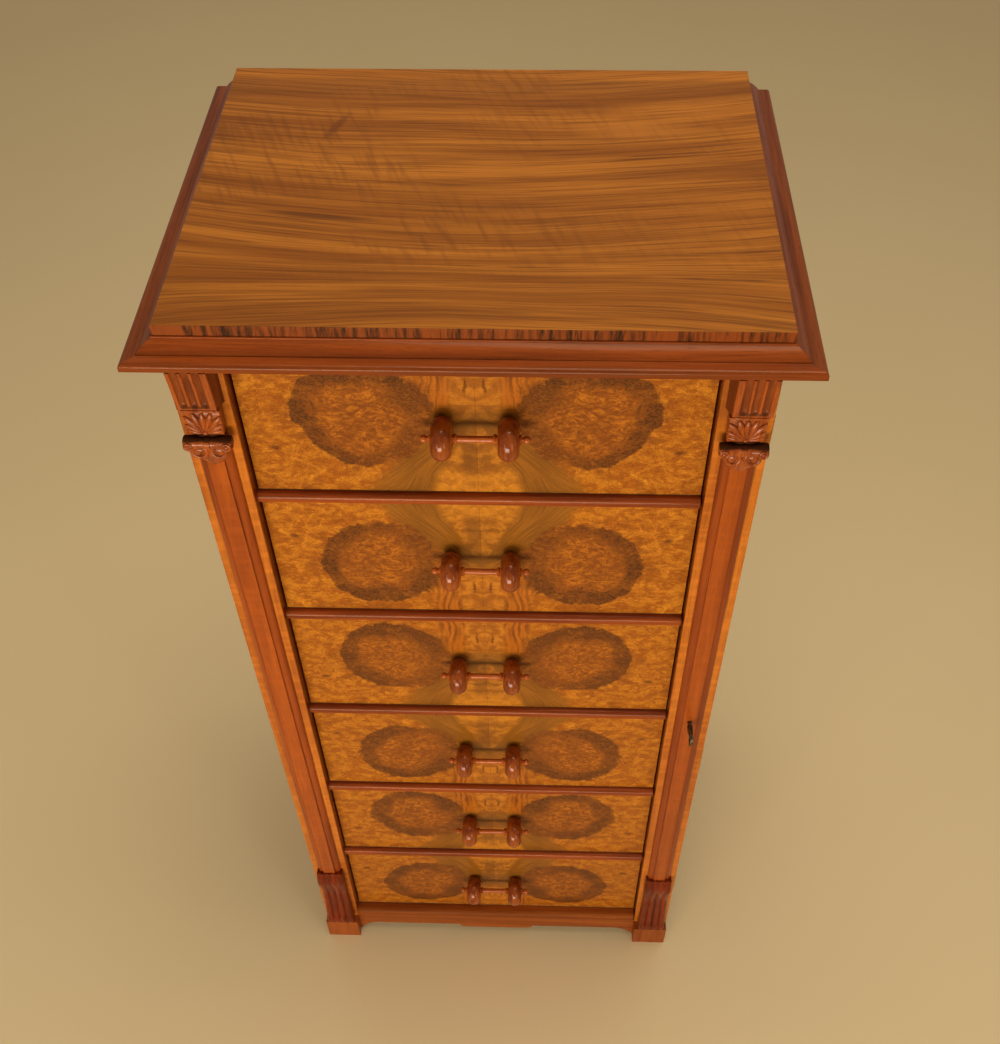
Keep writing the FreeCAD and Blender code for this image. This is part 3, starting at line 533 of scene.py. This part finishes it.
def stile_finish():
    shop = Shop("polished_stiles")
    x, y, z = parts(shop.place)
    gold, figure = board_colour(shop, "z", (194, 106, 28), (158, 76, 18), 0.3, 0.22)[:2]
    # the inner sides: dark red-brown, partly their own wood and partly painted shade
    dark_inner_side = board_colour(shop, "z", (122, 46, 12), (86, 30, 9), 0.3)[0]
    on_front = step(abs(x), stile_inner + 0.4 * mm, stile_inner + 1.2 * mm)
    near_front = fade(y, stile_front + 2.6 * mm, stile_front + 3.2 * mm)
    inner_half = fade(abs(x), stile_inner + 16 * mm, stile_inner + 20 * mm)
    # painted shade high up on the inner half of the stile, beside the corbels
    gold = mixed(step(z, shade_from, shade_full) * inner_half * 0.5, gold, paint(112, 50, 13))
    colour = mixed(greatest(on_front, near_front), dark_inner_side, gold)
    return polished(colour, 0.26 + figure * 0.08, soft_arris(shop, 0.0006))


finishes["stile_walnut"] = stile_finish()

# %% [markdown]
# ## The pilasters
# A pilaster is a flat strip planted on the stile, with a sunk line and a bead along each side. The
# band in the middle was cut from orange-red wood and the beads from a darker piece, so the colour
# follows the distance from the middle of the strip. The right one is a shade darker than the left.

# %% Make the pilasters' finish
pilaster_low, pilaster_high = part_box("pilaster_right")
pilaster_middle = (pilaster_low.x + pilaster_high.x) / 2
band_half = 8.0 * mm


def pilaster_finish():
    shop = Shop("polished_pilasters")
    x = parts(shop.place)[0]
    red, figure = board_colour(shop, "z", (168, 76, 17), (140, 58, 13), 0.3, 0.12)[:2]
    dark = board_colour(shop, "z", (154, 66, 16), (120, 46, 12), 0.3)[0]
    off_band = step(abs(abs(x) - pilaster_middle), band_half - 0.4 * mm, band_half + 0.3 * mm)
    right_side = step(x, -mm, mm)
    colour = stained(red, (off_band, dark), (right_side * 0.2, paint(110, 44, 10)))
    return polished(colour, 0.26 + figure * 0.08, soft_arris(shop, 0.0005))


finishes["pilaster_walnut"] = pilaster_finish()

# %% [markdown]
# ## Brass and steel
# The hinges, the lock and the strike are brass that has browned where hands don't reach. The key is
# old steel, dark in its hollows. On both, one noise mixes clean and tarnished metal and roughens it.

# %% Make the metals


def old_metal(name, clean, tarnished, rough):
    shop = Shop(name)
    age = step(grain(shop.place, (160.0, 160.0, 160.0), 4.0, 0.65), 0.38, 0.68)
    scratch = grain(shop.place, (900.0, 900.0, 120.0))
    return shop.finish(Base_Color=mixed(age, clean, tarnished), Metallic=1.0,
                       Roughness=rough + age * 0.2 + (scratch - 0.5) * 0.12,
                       Normal=bumped(scratch, 0.00004, 0.5))


finishes["brass"] = old_metal("old_brass", paint(214, 170, 92), paint(150, 104, 50), 0.25)
finishes["key_steel"] = old_metal("dark_steel", paint(112, 92, 64), paint(58, 46, 34), 0.42)

# %% [markdown]
# ## Finish the boards
# Each node of the model arrives with a slot named for its wood, and the finish takes that slot. The
# apron, the feet and the returns of the moulding get a finish of their own, because their grain runs
# another way or they were cut from another board. The handles have none yet: their finish is made
# when they are turned, further on.

# %% Give each board its wood
apron_finish = polished_board("polished_apron", "x", (152, 73, 20), (120, 53, 14), 0.4,
                              seed=0.31, coat=0.0, rough=0.42)
own_finishes = {
    "apron": apron_finish,
    "base_bead": apron_finish,
    "feet": polished_board("polished_feet", "z", (156, 74, 21), (122, 52, 15), 0.35,
                           seed=0.53, coat=0.0, rough=0.4),
    "top_moulding_sides": polished_board("polished_returns", "y", (132, 62, 24), (98, 42, 17), 0.4,
                                         band=90.0, seed=0.17, arris=0.0008),
}
for name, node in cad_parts.items():
    slot = node.material_slots[0]
    slot.material = own_finishes.get(name, finishes.get(slot.material.name))
print(len(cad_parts), "boards finished")

# %% [markdown]
# ## Tools for shaping
# New pieces are made as by hand: a primitive is added at its size and place, and then cut, moved and
# swelled in edit mode. The part to work on is chosen in code, by its place, which is what a marking
# gauge does on the bench.

# %% Helpers for shaping


def only(piece):
    bpy.ops.object.select_all(action="DESELECT")
    piece.select_set(True)
    bpy.context.view_layer.objects.active = piece


def settled(name):
    piece = bpy.context.object
    piece.name = name
    piece.data.name = name
    bpy.ops.object.transform_apply(location=True, rotation=True, scale=True)
    return piece


def start_work(piece):
    only(piece)
    bpy.ops.object.mode_set(mode="EDIT")
    bpy.ops.mesh.select_all(action="SELECT")


def end_work():
    bpy.ops.object.mode_set(mode="OBJECT")


def choose(piece, test):
    end_work()
    for part in (*piece.data.polygons, *piece.data.edges):
        part.select = False
    for vertex in piece.data.vertices:
        vertex.select = test(vertex.co)
    bpy.ops.object.mode_set(mode="EDIT")


def sawn(piece, planes):
    start_work(piece)
    for place, normal in planes:
        bpy.ops.mesh.select_all(action="SELECT")
        bpy.ops.mesh.bisect(plane_co=place, plane_no=normal)
    end_work()


def flat_backed(piece, depth):
    start_work(piece)
    bpy.ops.mesh.bisect(plane_co=(0.0, depth, 0.0), plane_no=(0.0, 1.0, 0.0), clear_outer=True,
                        use_fill=True)
    end_work()
    return piece


def glued(name, pieces):
    only(pieces[0])
    for piece in pieces:
        piece.select_set(True)
    bpy.ops.object.join()
    return settled(name)


def smoothed(piece, degrees):
    start_work(piece)
    bpy.ops.mesh.normals_make_consistent(inside=False)
    end_work()
    bpy.ops.object.shade_smooth_by_angle(angle=math.radians(degrees))


def copied(piece, name, push):
    only(piece)
    bpy.ops.object.duplicate()
    bpy.ops.transform.translate(value=push)
    return settled(name)


def dressed(piece, body, slot, *nodes):
    piece.data.materials.clear()
    piece.data.materials.append(finishes[slot])
    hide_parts(*nodes)
    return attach(piece, body)


# %% [markdown]
# ## The turned handles
# Each handle is a rod with a ball at both ends, and two fat wheels on it that stand on the drawer
# front. Both shapes come off a lathe, and Blender's spin does what a lathe does: half an outline is
# drawn point by point, and turned about the axis. A wheel's rim is nearly half a circle, worked out
# from its thickness and from how much the rim stands above the cheek. Its back is sawn flat where it
# meets the veneer.

# %% Turn one handle
handle_low, handle_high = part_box("drawer_1_handle")
handle_stand = 17.0 * mm
handle_axis = Vector((0.0, face_y - handle_stand, (handle_low.z + handle_high.z) / 2))
wheel_apart = 59.6 * mm
wheel_half = 9.7 * mm
wheel_radius = 20.5 * mm
cheek_radius = 12.5 * mm
rod_radius = 3.1 * mm
rod_reach = 49.5 * mm
ball_radius = 3.7 * mm
wheel_steps = 72
rod_steps = 40


def turned(name, outline, steps):
    bpy.ops.mesh.primitive_plane_add(size=mm, location=handle_axis)
    piece = settled(name)
    start_work(piece)
    bpy.ops.mesh.merge(type="CENTER")
    bpy.ops.transform.translate(value=(outline[0][0], 0.0, outline[0][1]))
    for start, end in zip(outline, outline[1:]):
        bpy.ops.mesh.extrude_region_move(
            TRANSFORM_OT_translate={"value": (end[0] - start[0], 0.0, end[1] - start[1])})
    bpy.ops.mesh.select_all(action="SELECT")
    bpy.ops.mesh.spin(steps=steps, angle=math.tau, center=handle_axis, axis=(1.0, 0.0, 0.0))
    bpy.ops.mesh.select_all(action="SELECT")
    bpy.ops.mesh.remove_doubles(threshold=0.01 * mm)
    end_work()
    return piece


def both_ways(half):
    return [(-place, height) for place, height in reversed(half[1:])] + half


def arc(middle, height, radius, start, end, count):
    turns = [math.radians(start + (end - start) * index / count) for index in range(count + 1)]
    return [(middle - radius * math.cos(turn), height + radius * math.sin(turn)) for turn in turns]


def wheel(name, middle):
    stand = wheel_radius - cheek_radius
    rim = (wheel_half ** 2 + stand ** 2) / (2 * stand)
    spread = math.degrees(math.asin(wheel_half / rim))
    left = middle - wheel_half
    outline = [(left + 1.2 * mm, 0.0), (left + 1.2 * mm, 6.0 * mm), (left + 0.3 * mm, 8.5 * mm)]
    outline += arc(middle, wheel_radius - rim, rim, 90 - spread, 90 + spread, 18)
    outline += [(2 * middle - place, height) for place, height in reversed(outline[:3])]
    return flat_backed(turned(name, outline, wheel_steps), face_y)


def rod(name):
    cheek_in = wheel_apart / 2 - wheel_half
    cheek_out = wheel_apart / 2 + wheel_half
    half = [(0.0, rod_radius), (cheek_in - 4.2 * mm, rod_radius), (cheek_in - 3.4 * mm, 4.6 * mm)]
    half += [(cheek_in - 2.2 * mm, 5.1 * mm), (cheek_in - 1.2 * mm, 4.3 * mm), (cheek_in, 4.3 * mm)]
    half += [(cheek_out, 4.4 * mm), (cheek_out + 0.8 * mm, 5.0 * mm), (cheek_out + 1.8 * mm, 4.2 * mm)]
    half += [(cheek_out + 2.4 * mm, 2.3 * mm)]
    half += arc(rod_reach - ball_radius, 0.0, ball_radius, 40, 180, 9)
    return turned(name, both_ways(half), rod_steps)


handle_pieces = [wheel("wheel_left", -wheel_apart / 2), wheel("wheel_right", wheel_apart / 2), rod("rod")]
first_handle = glued("drawer_1_turned_handle", handle_pieces)
smoothed(first_handle, 40.0)
print("a handle has", len(first_handle.data.polygons), "faces")

# %% [markdown]
# ## The handles' finish
# The wheels are dark red-brown and glossy, and the thin rod between them is coloured paler and more
# orange. A step on the distance from the middle of the nearer wheel changes one to the other at the
# cheeks.

# %% Make the handles' finish


def turned_finish():
    shop = Shop("polished_turning")
    x = parts(shop.place)[0]
    wheel_wood, figure = board_colour(shop, "z", (154, 71, 18), (112, 43, 11), 0.3, band=110.0)[:2]
    rod_wood = board_colour(shop, "x", (188, 92, 30), (150, 64, 20), 0.3, band=120.0)[0]
    off_wheel = step(abs(abs(x) - wheel_apart / 2), wheel_half - 0.9 * mm, wheel_half - 0.5 * mm)
    normal = bumped(figure, 0.00002, 0.3)
    return polished(mixed(off_wheel, wheel_wood, rod_wood), 0.2 + figure * 0.06, normal, coat=0.35)


finishes["turned_walnut"] = turned_finish()

# %% Copy it to the other drawers
first_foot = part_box("drawer_1_front")[0].z
handles = [first_handle]
for number in range(2, 7):
    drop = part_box("drawer_%d_front" % number)[0].z - first_foot
    handles.append(copied(first_handle, "drawer_%d_turned_handle" % number, (0.0, 0.0, drop)))
for number, handle in enumerate(handles, 1):
    dressed(handle, "drawer_%d" % number, "turned_walnut", "drawer_%d_handle" % number)
print(len(handles), "handles turned")

# %% [markdown]
# ## The reeded blocks
# Above each foot a block carries four reeds. They swell out at the head, draw in to a waist and
# spread again to the foot, where their ends make a scalloped edge. A reed is a tapered round rod
# that is half sunk in the block, so each one is a cylinder sawn into short lengths. Every ring of
# vertices is then moved and swelled to the block's width and depth at that height, which two tables
# give in millimetres against the share of the height.

# %% Shape the block
block_low, block_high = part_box("block_left")
block_middle = (block_low.x + block_high.x) / 2
block_back = block_high.y
block_tall = block_high.z - block_low.z
block_centre = (block_middle, block_back, (block_low.z + block_high.z) / 2)
block_widths = ((0.0, 40.5), (0.14, 37.8), (0.58, 35.6), (0.66, 36.4), (0.86, 38.4), (1.0, 36.8))
block_depths = ((0.0, 18.4), (0.16, 14.4), (0.38, 11.4), (0.6, 9.6), (0.66, 11.4), (0.84, 15.0), (1.0, 11.4))
reed_count = 4
reed_flat = 0.9
blunt_share = 0.035
row_count = 22


def read_off(table, share, eased=True):
    for (low, first), (high, second) in zip(table, table[1:]):
        if share <= high:
            turn = (share - low) / (high - low)
            turn = (1 - math.cos(math.pi * turn)) / 2 if eased else turn
            return (first + (second - first) * turn) * mm
    return table[-1][1] * mm


def shaped_rows(piece, move, swell, inset=0.0):
    shares = [index / row_count for index in range(row_count + 1)]
    heights = [block_low.z + block_tall * share for share in shares]
    sawn(piece, [((0.0, 0.0, height), (0.0, 0.0, 1.0)) for height in heights[1:-1]])
    heights[0] += inset
    heights[-1] -= inset
    for share, height in zip(shares, heights):
        choose(piece, lambda place: abs(place.z - height) < 0.05 * mm)
        bpy.ops.transform.resize(value=(*swell(share), 1.0),
                                 center_override=(block_middle, block_back, height))
        bpy.ops.transform.translate(value=(*move(share), 0.0))
    end_work()


def reed(index):
    radius = read_off(block_widths, 0.5) / reed_count / 2
    offset = index - (reed_count - 1) / 2
    bpy.ops.mesh.primitive_cylinder_add(vertices=28, radius=radius, depth=block_tall, location=block_centre)
    piece = settled("reed")

    def swell(share):
        wide = read_off(block_widths, share) / reed_count / 2 / radius
        end = min(share, 1 - share) / blunt_share
        blunted = 1.0 if end >= 1 else 0.55 + 0.45 * math.sqrt(1 - (1 - end) ** 2)
        return wide * blunted, wide * blunted * reed_flat

    def move(share):
        wide = read_off(block_widths, share) / reed_count
        return offset * wide, wide * 0.5 * reed_flat - read_off(block_depths, share)

    shaped_rows(piece, move, swell)
    return piece


def block_core():
    bpy.ops.mesh.primitive_cube_add(size=1.0, location=block_centre, scale=(mm, mm, block_tall - 2 * mm))
    piece = settled("block_core")

    def swell(share):
        sunk = 1.6 + 1.2 * (1 - share)
        return read_off(block_widths, share) / mm * 0.975, 2 * (read_off(block_depths, share) / mm - sunk)

    shaped_rows(piece, lambda share: (0.0, 0.0), swell, inset=mm)
    return flat_backed(piece, block_back)


left_block = glued("block_left_reeded", [block_core()] + [reed(index) for index in range(reed_count)])
smoothed(left_block, 50.0)
right_block = copied(left_block, "block_right_reeded", (-2 * block_middle, 0.0, 0.0))
dressed(left_block, "carcase", "carved_walnut", "block_left")
dressed(right_block, "locking_stile", "carved_walnut", "block_right")
print("a block has", len(left_block.data.polygons), "faces")

# %% [markdown]
# ## The corbels: the fluted head
# A carved corbel stands at the head of each stile. Its upper part leans inwards in a hollow curve and
# carries three flutes between two plain borders. The carver saws the curve first and then runs a
# gouge down it. Here the block is sawn into rows and columns, the rows are moved back to the curve,
# and the columns of each flute are sunk by a circle's arc. They stay up in the lowest row, so each
# flute ends above the fillet. The side next to the drawers slopes back, so the flutes stand nearer
# to the outer edge.

# %% Carve the head
corbel_low, corbel_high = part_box("corbel_left")
corbel_middle = (corbel_low.x + corbel_high.x) / 2
corbel_back = corbel_high.y
corbel_top = corbel_high.z
head_wide = 39.5 * mm
head_deep = 10.0 * mm
head_tall = 46.5 * mm
head_foot = corbel_top - head_tall
side_slope = 5.0 * mm
flutes_wide = 26.0 * mm
flutes_out = 3.4 * mm
flute_gap = 2.0 * mm
flute_deep = 2.9 * mm
flute_wide = (flutes_wide - 2 * flute_gap) / 3
flute_pitch = flute_wide + flute_gap
head_curve = ((0.0, 12.0), (0.1, 12.0), (0.35, 12.8), (0.65, 14.4), (1.0, 17.0))
near = 0.02 * mm


def carved_head():
    middle = (corbel_middle, corbel_back - head_deep / 2, corbel_top - head_tall / 2)
    bpy.ops.mesh.primitive_cube_add(size=1.0, location=middle, scale=(head_wide, head_deep, head_tall))
    piece = settled("corbel_head")
    shares = [0.05, 0.09, 0.13] + [0.2 + 0.8 * index / 10 for index in range(10)]
    rows = [head_foot + head_tall * share for share in shares]
    sinks = {}
    for number in (-1, 0, 1):
        centre = number * flute_pitch - flutes_out
        for index in range(9):
            turn = index / 4 - 1
            sinks[centre + turn * flute_wide / 2] = flute_deep * math.sqrt(max(0.0, 1 - turn * turn))
    planes = [((0.0, 0.0, height), (0.0, 0.0, 1.0)) for height in rows]
    planes += [((corbel_middle + offset, 0.0, 0.0), (1.0, 0.0, 0.0)) for offset in sinks]
    sawn(piece, planes)
    for height in [head_foot] + rows + [corbel_top]:
        depth = read_off(head_curve, (height - head_foot) / head_tall, eased=False)
        choose(piece, lambda place: abs(place.z - height) < near and place.y < corbel_back - head_deep + mm)
        bpy.ops.transform.translate(value=(0.0, head_deep - depth, 0.0))
    in_front = corbel_back - head_deep / 2
    for offset, sink in sinks.items():
        place_x = corbel_middle + offset
        for low, high, share in ((rows[1], rows[2], 0.7), (rows[2], corbel_top + mm, 1.0)):
            choose(piece, lambda place: abs(place.x - place_x) < near and place.y < in_front
                   and low - near < place.z < high - near)
            bpy.ops.transform.translate(value=(0.0, sink * share, 0.0))
    inner_edge = corbel_middle + head_wide / 2 - near
    choose(piece, lambda place: place.x > inner_edge and place.y < in_front)
    bpy.ops.transform.translate(value=(-side_slope, 0.0, 0.0))
    end_work()
    return piece


corbel_pieces = [carved_head()]

# %% [markdown]
# ## The corbels: fillet, shell and scroll
# Under the flutes a small flat fillet marks the joint, and a shell opens below it: petals that fan
# out from the middle of its foot. A petal is a long ball, thinned towards the foot with a resize of
# its lower rings and then turned to its angle. A deep cut, painted nearly black with shade in the
# corbels' finish, parts the shell from the scroll, a roll of wood with a raised eye at both ends,
# turned about its own length.

# %% Carve the fillet and the shell
fillet_tall = 3.0 * mm
shell_tall = 26.0 * mm
shell_wide = 33.0 * mm
shell_top = head_foot - fillet_tall
shell_foot = shell_top - shell_tall
cut_tall = 3.0 * mm
cut_deep = 6.5 * mm
petal_count = 9
petal_spread = 80.0
petal_foot = (corbel_middle, shell_foot + 1.8 * mm)
petal_up, petal_out, petal_longest = 23.4 * mm, 16.8 * mm, 25.5 * mm
petal_taper = ((0.0, 0.2, 0.45), (0.2, 0.4, 0.62), (0.4, 0.6, 0.82))
knob_radius = 2.4 * mm


def slab_piece(name, wide, depth_top, depth_foot, top, foot, round_edge=0.0):
    middle = (corbel_middle, corbel_back - depth_top / 2, (top + foot) / 2)
    bpy.ops.mesh.primitive_cube_add(size=1.0, location=middle, scale=(wide, depth_top, top - foot))
    piece = settled(name)
    choose(piece, lambda place: place.z < middle[2] and place.y < middle[1])
    bpy.ops.transform.translate(value=(0.0, depth_top - depth_foot, 0.0))
    if round_edge:
        bpy.ops.mesh.select_all(action="SELECT")
        bpy.ops.mesh.bevel(offset=round_edge, segments=3, affect="EDGES")
    end_work()
    return piece


def ball(name, place, size, segments, rings):
    bpy.ops.mesh.primitive_uv_sphere_add(segments=segments, ring_count=rings, radius=1.0,
                                         location=place, scale=size)
    return settled(name)


def petal(degrees, half_wide, half_thick, reach, foot, depth):
    middle = (foot[0], depth, foot[1] + reach / 2)
    piece = ball("petal", middle, (half_wide, half_thick, reach / 2), 20, 14)
    for low, high, size in petal_taper:
        choose(piece, lambda place: foot[1] + reach * low <= place.z < foot[1] + reach * high)
        bpy.ops.transform.resize(value=(size, 1.0, 1.0), center_override=middle)
    bpy.ops.mesh.select_all(action="SELECT")
    bpy.ops.transform.rotate(value=math.radians(degrees), orient_axis="Y", orient_type="GLOBAL",
                             center_override=(foot[0], depth, foot[1]))
    end_work()
    return piece


corbel_pieces += [
    slab_piece("corbel_fillet", shell_wide + 1.5 * mm, 13.2 * mm, 12.8 * mm, head_foot, shell_top, 0.7 * mm),
    slab_piece("corbel_shell", shell_wide, 10.6 * mm, 12.4 * mm, shell_top, shell_foot, 0.9 * mm),
    slab_piece("corbel_cut", shell_wide - 3 * mm, cut_deep, cut_deep, shell_foot + mm,
               shell_foot - cut_tall - 2 * mm),
]
for index in range(petal_count):
    degrees = petal_spread * (2 * index / (petal_count - 1) - 1)
    turn = math.radians(abs(degrees))
    reach = min(petal_up / max(math.cos(turn), 0.01), petal_out / max(math.sin(turn), 0.01), petal_longest)
    corbel_pieces.append(petal(degrees, 3.3 * mm, 3.1 * mm, reach, petal_foot, corbel_back - 11.1 * mm))
knob_place = (petal_foot[0], corbel_back - 12.4 * mm, petal_foot[1] + mm)
corbel_pieces.append(ball("shell_knob", knob_place, (knob_radius,) * 3, 20, 12))

# %% Turn the scroll
scroll_radius = 6.6 * mm
scroll_axis = Vector((corbel_middle, corbel_back - 12.3 * mm, shell_foot - cut_tall - scroll_radius))

# millimetres from the middle, and shares of the radius
scroll_profile = ((0.0, 0.97), (2.2, 0.97), (2.8, 0.86), (4.5, 0.84), (9.0, 0.88), (13.0, 0.97),
                  (16.5, 1.0), (20.1, 1.0), (21.1, 0.95), (21.5, 0.86), (21.5, 0.66), (20.6, 0.6),
                  (20.6, 0.48), (21.7, 0.42), (22.1, 0.2), (22.1, 0.0))
half = [(place * mm, share * scroll_radius) for place, share in scroll_profile]
only(turned("corbel_scroll", both_ways(half), rod_steps))
bpy.ops.transform.translate(value=scroll_axis - handle_axis)
corbel_pieces.append(settled("corbel_scroll"))

# %% [markdown]
# ## The corbels: the leaf
# A leaf springs from the scroll and hangs over the pilaster. It is a rounded bib of wood with lobes on
# it: a long one in the middle and pairs beside it, which slope back to the bib's edge. They are
# petals again, turned to hang down. Two large curls lie on the bib under the scroll, and a small
# volute closes each end of the scroll. Each of them is a ring with a flattened ball inside it.

# %% Carve the leaf
leaf_top = scroll_axis.z + 4.0 * mm
leaf_depth = 15.4 * mm
leaf_slope = -12.0
bib_place = (corbel_middle, corbel_back - 5 * mm, scroll_axis.z - 9 * mm)
bib_size = (17.0 * mm, 8.0 * mm, 24.5 * mm)
lobe_table = ((8.0, 4.4, 2.8, 20.0, 16.0, 4.6), (18.0, 3.6, 2.4, 14.0, 16.0, 9.6))


def lobe(side, degrees, half_wide, half_thick, reach, drop, offset):
    foot = (corbel_middle + side * offset, leaf_top - drop)
    return petal(180.0 - side * degrees, half_wide, half_thick, reach, foot, corbel_back - leaf_depth)


corbel_pieces.append(flat_backed(ball("leaf_bib", bib_place, bib_size, 28, 18), corbel_back))
leaf_lobes = [lobe(1, 0.0, 3.8 * mm, 3.4 * mm, 38.0 * mm, 0.0, 0.0)]
for degrees, *sizes in lobe_table:
    for side in (-1, 1):
        leaf_lobes.append(lobe(side, degrees, *[size * mm for size in sizes]))
for piece in leaf_lobes:
    only(piece)
    bpy.ops.transform.rotate(value=math.radians(leaf_slope), orient_axis="X", orient_type="GLOBAL",
                             center_override=(corbel_middle, corbel_back - leaf_depth, leaf_top))
    settled("leaf_lobe")
corbel_pieces += leaf_lobes

# %% Curl the ends of the leaf
curl_tilt = math.pi / 2 - 0.15
curl_table = ((17.0, 0.4, 18.5, 3.2, 1.3), (8.6, 8.0, 15.4, 6.4, 1.9))
for offset, drop, depth, radius, thick in curl_table:
    for side in (-1, 1):
        place = (corbel_middle + side * offset * mm, corbel_back - depth * mm, scroll_axis.z - drop * mm)
        reach = (radius - 0.6 * thick) * mm
        corbel_pieces.append(ball("curl_ball", place, (reach, thick * 1.25 * mm, reach), 24, 14))
        bpy.ops.mesh.primitive_torus_add(location=place, rotation=(curl_tilt, 0.0, 0.0),
                                         major_segments=28, minor_segments=10,
                                         major_radius=radius * mm, minor_radius=thick * mm)
        corbel_pieces.append(settled("leaf_curl"))

# %% [markdown]
# ## The corbels' finish
# The carving is a shade paler than the blocks below. Shade is painted into it where light doesn't
# reach: the flutes are darker in their hollows, and the cut over the scroll, the slits in the
# curls, the sloped side and the feet of the flutes are painted nearly black. The masks are bands
# of height and distances from the corbel's middle.

# %% Make the corbels' finish
slit_place = (7.0 * mm, -9.5 * mm)
slit_half = (0.8 * mm, 3.4 * mm)


def height_band(z, rise, rise_end, fall, fall_end):
    return step(z, rise, rise_end) * fade(z, fall, fall_end)


def corbel_finish():
    shop = Shop("polished_corbels")
    x, _, z = parts(shop.place)
    wood, figure = board_colour(shop, "z", (162, 74, 21), (122, 50, 14), 0.35, band=160.0, seed=0.23)[:2]
    # painted shade over the cut above the scroll and over the scroll's top
    cut = height_band(z, scroll_axis.z + 3.4 * mm, scroll_axis.z + 4.8 * mm,
                      shell_foot - 0.6 * mm, shell_foot + 0.9 * mm)
    # painted shade at the feet of the flutes
    feet = height_band(z, head_foot + 1.2 * mm, head_foot + 1.8 * mm,
                       head_foot + 3.4 * mm, head_foot + 6.0 * mm)

    # the painted shade in the flutes, by the distance from the middle of the nearest one
    outward = abs(x) - abs(corbel_middle)
    aside = abs(outward - flutes_out)
    fluted = fade(aside, flutes_wide / 2 - 0.6 * mm, flutes_wide / 2)
    from_middle = abs((aside / flute_pitch + 0.5) % 1.0 - 0.5) * flute_pitch
    hollow = fade(from_middle, flute_wide * 0.2, flute_wide * 0.52) * fluted
    hollow = hollow * step(z, head_foot + 2.0 * mm, head_foot + 4.0 * mm)

    # painted shade on the sloped side next to the drawers, and the curls' slits painted dark
    side_edge = side_slope - head_wide / 2
    side = fade(outward, side_edge - 0.8 * mm, side_edge) * step(z, head_foot, head_foot + mm)
    fall = z - scroll_axis.z - slit_place[1]
    slit = length((abs(outward) - slit_place[0] + fall * 0.6) / slit_half[0], fall / slit_half[1])
    slit = fade(slit, 0.5, 1.3)
    # all the painted shade together; it also roughens the polish there
    painted_shade = greatest(cut, feet * fluted * 0.7, hollow * 0.45, side * 0.55, slit * 0.8)
    colour = mixed(painted_shade * 0.9, wood, paint(38, 15, 6))
    rough = 0.28 + figure * 0.08 + painted_shade * 0.5
    return polished(colour, rough, soft_arris(shop, 0.0005), 0.26 - painted_shade * 0.26)


# %% Join and copy the corbel
left_corbel = glued("corbel_left_carved", corbel_pieces)
smoothed(left_corbel, 40.0)
right_corbel = copied(left_corbel, "corbel_right_carved", (-2 * corbel_middle, 0.0, 0.0))
bpy.ops.transform.mirror(constraint_axis=(True, False, False), center_override=(-corbel_middle, 0.0, 0.0))
settled("corbel_right_carved")
smoothed(right_corbel, 40.0)
dressed(left_corbel, "carcase", "carved_walnut", "corbel_left")
dressed(right_corbel, "locking_stile", "carved_walnut", "corbel_right")
carving = corbel_finish()
for corbel in (left_corbel, right_corbel):
    corbel.material_slots[0].material = carving
print("a corbel has", len(left_corbel.data.polygons), "faces")

# %% [markdown]
# ## The studio
# The chest stands on a plain pale floor. In the photograph the shadows of the wheels lie above them,
# so the light comes from low in front: a broad lamp stands there. A second lamp hangs over the top,
# and two narrow ones stand like windows at the sides. The world fills the shadows, and it is paler
# where the camera sees it, like a wall behind the chest.

# %% Lay the floor
floor_size = 16.0
bpy.ops.mesh.primitive_plane_add(size=floor_size, location=(0.0, 0.0, 0.0))
floor = settled("studio_floor")
floor_shop = Shop("pale_floor")
cloud = grain(floor_shop.place, (1.4, 1.4, 1.4), 3.0)
floor_colour = mixed(cloud, paint(224, 191, 134), paint(231, 199, 143))
floor.data.materials.append(floor_shop.finish(Base_Color=floor_colour, Roughness=0.8))
floor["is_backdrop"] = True

# %% Hang the lamps
chest_middle = (0.0, 0.0, 0.8)
chest_head = (0.0, 0.0, 1.2)


def lamp(name, place, aim, wide, tall, watts, spread=180.0):
    light = bpy.data.lights.new(name, "AREA")
    light.shape = "RECTANGLE"
    light.size = wide
    light.size_y = tall
    light.energy = watts
    light.spread = math.radians(spread)
    holder = bpy.data.objects.new(name, light)
    holder.location = place
    holder.rotation_euler = (Vector(aim) - Vector(place)).to_track_quat("-Z", "Y").to_euler()
    bpy.context.scene.collection.objects.link(holder)


lamp("front_lamp", (-0.3, -2.4, 0.62), chest_head, wide=1.5, tall=0.8, watts=21.0, spread=120.0)
lamp("top_lamp", (0.3, 0.2, 3.3), chest_head, wide=1.8, tall=1.4, watts=39.0)
lamp("left_window", (-1.5, -2.4, 1.1), chest_middle, wide=0.35, tall=1.2, watts=8.0)
lamp("right_window", (1.6, -2.2, 1.1), chest_middle, wide=0.3, tall=1.2, watts=6.0)
print("lamps hung")

# %% Light the room
wall_colour = (0.9, 0.86, 0.79, 1.0)
fill_strength = 0.32
wall_strength = 0.85

world = bpy.data.worlds.new("studio_world")
world.use_nodes = True
bpy.context.scene.world = world
background = world.node_tree.nodes["Background"]
background.inputs["Color"].default_value = wall_colour
seen = world.node_tree.nodes.new("ShaderNodeLightPath")
strength = world.node_tree.nodes.new("ShaderNodeMapRange")
strength.inputs["To Min"].default_value = fill_strength
strength.inputs["To Max"].default_value = wall_strength
world.node_tree.links.new(seen.outputs["Is Camera Ray"], strength.inputs["Value"])
world.node_tree.links.new(strength.outputs["Result"], background.inputs["Strength"])

# %% [markdown]
# ## The sizes
# The box of the dressed chest is put beside the box of the model, so that the two can be compared,
# and the dressed size is printed.

# %% Gather the sizes
low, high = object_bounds()
sizes = {"cad": [list(cad_low), list(cad_high)], "visual": [list(low), list(high)]}
print("dressed size", [round(size / mm, 1) for size in high - low], "mm")
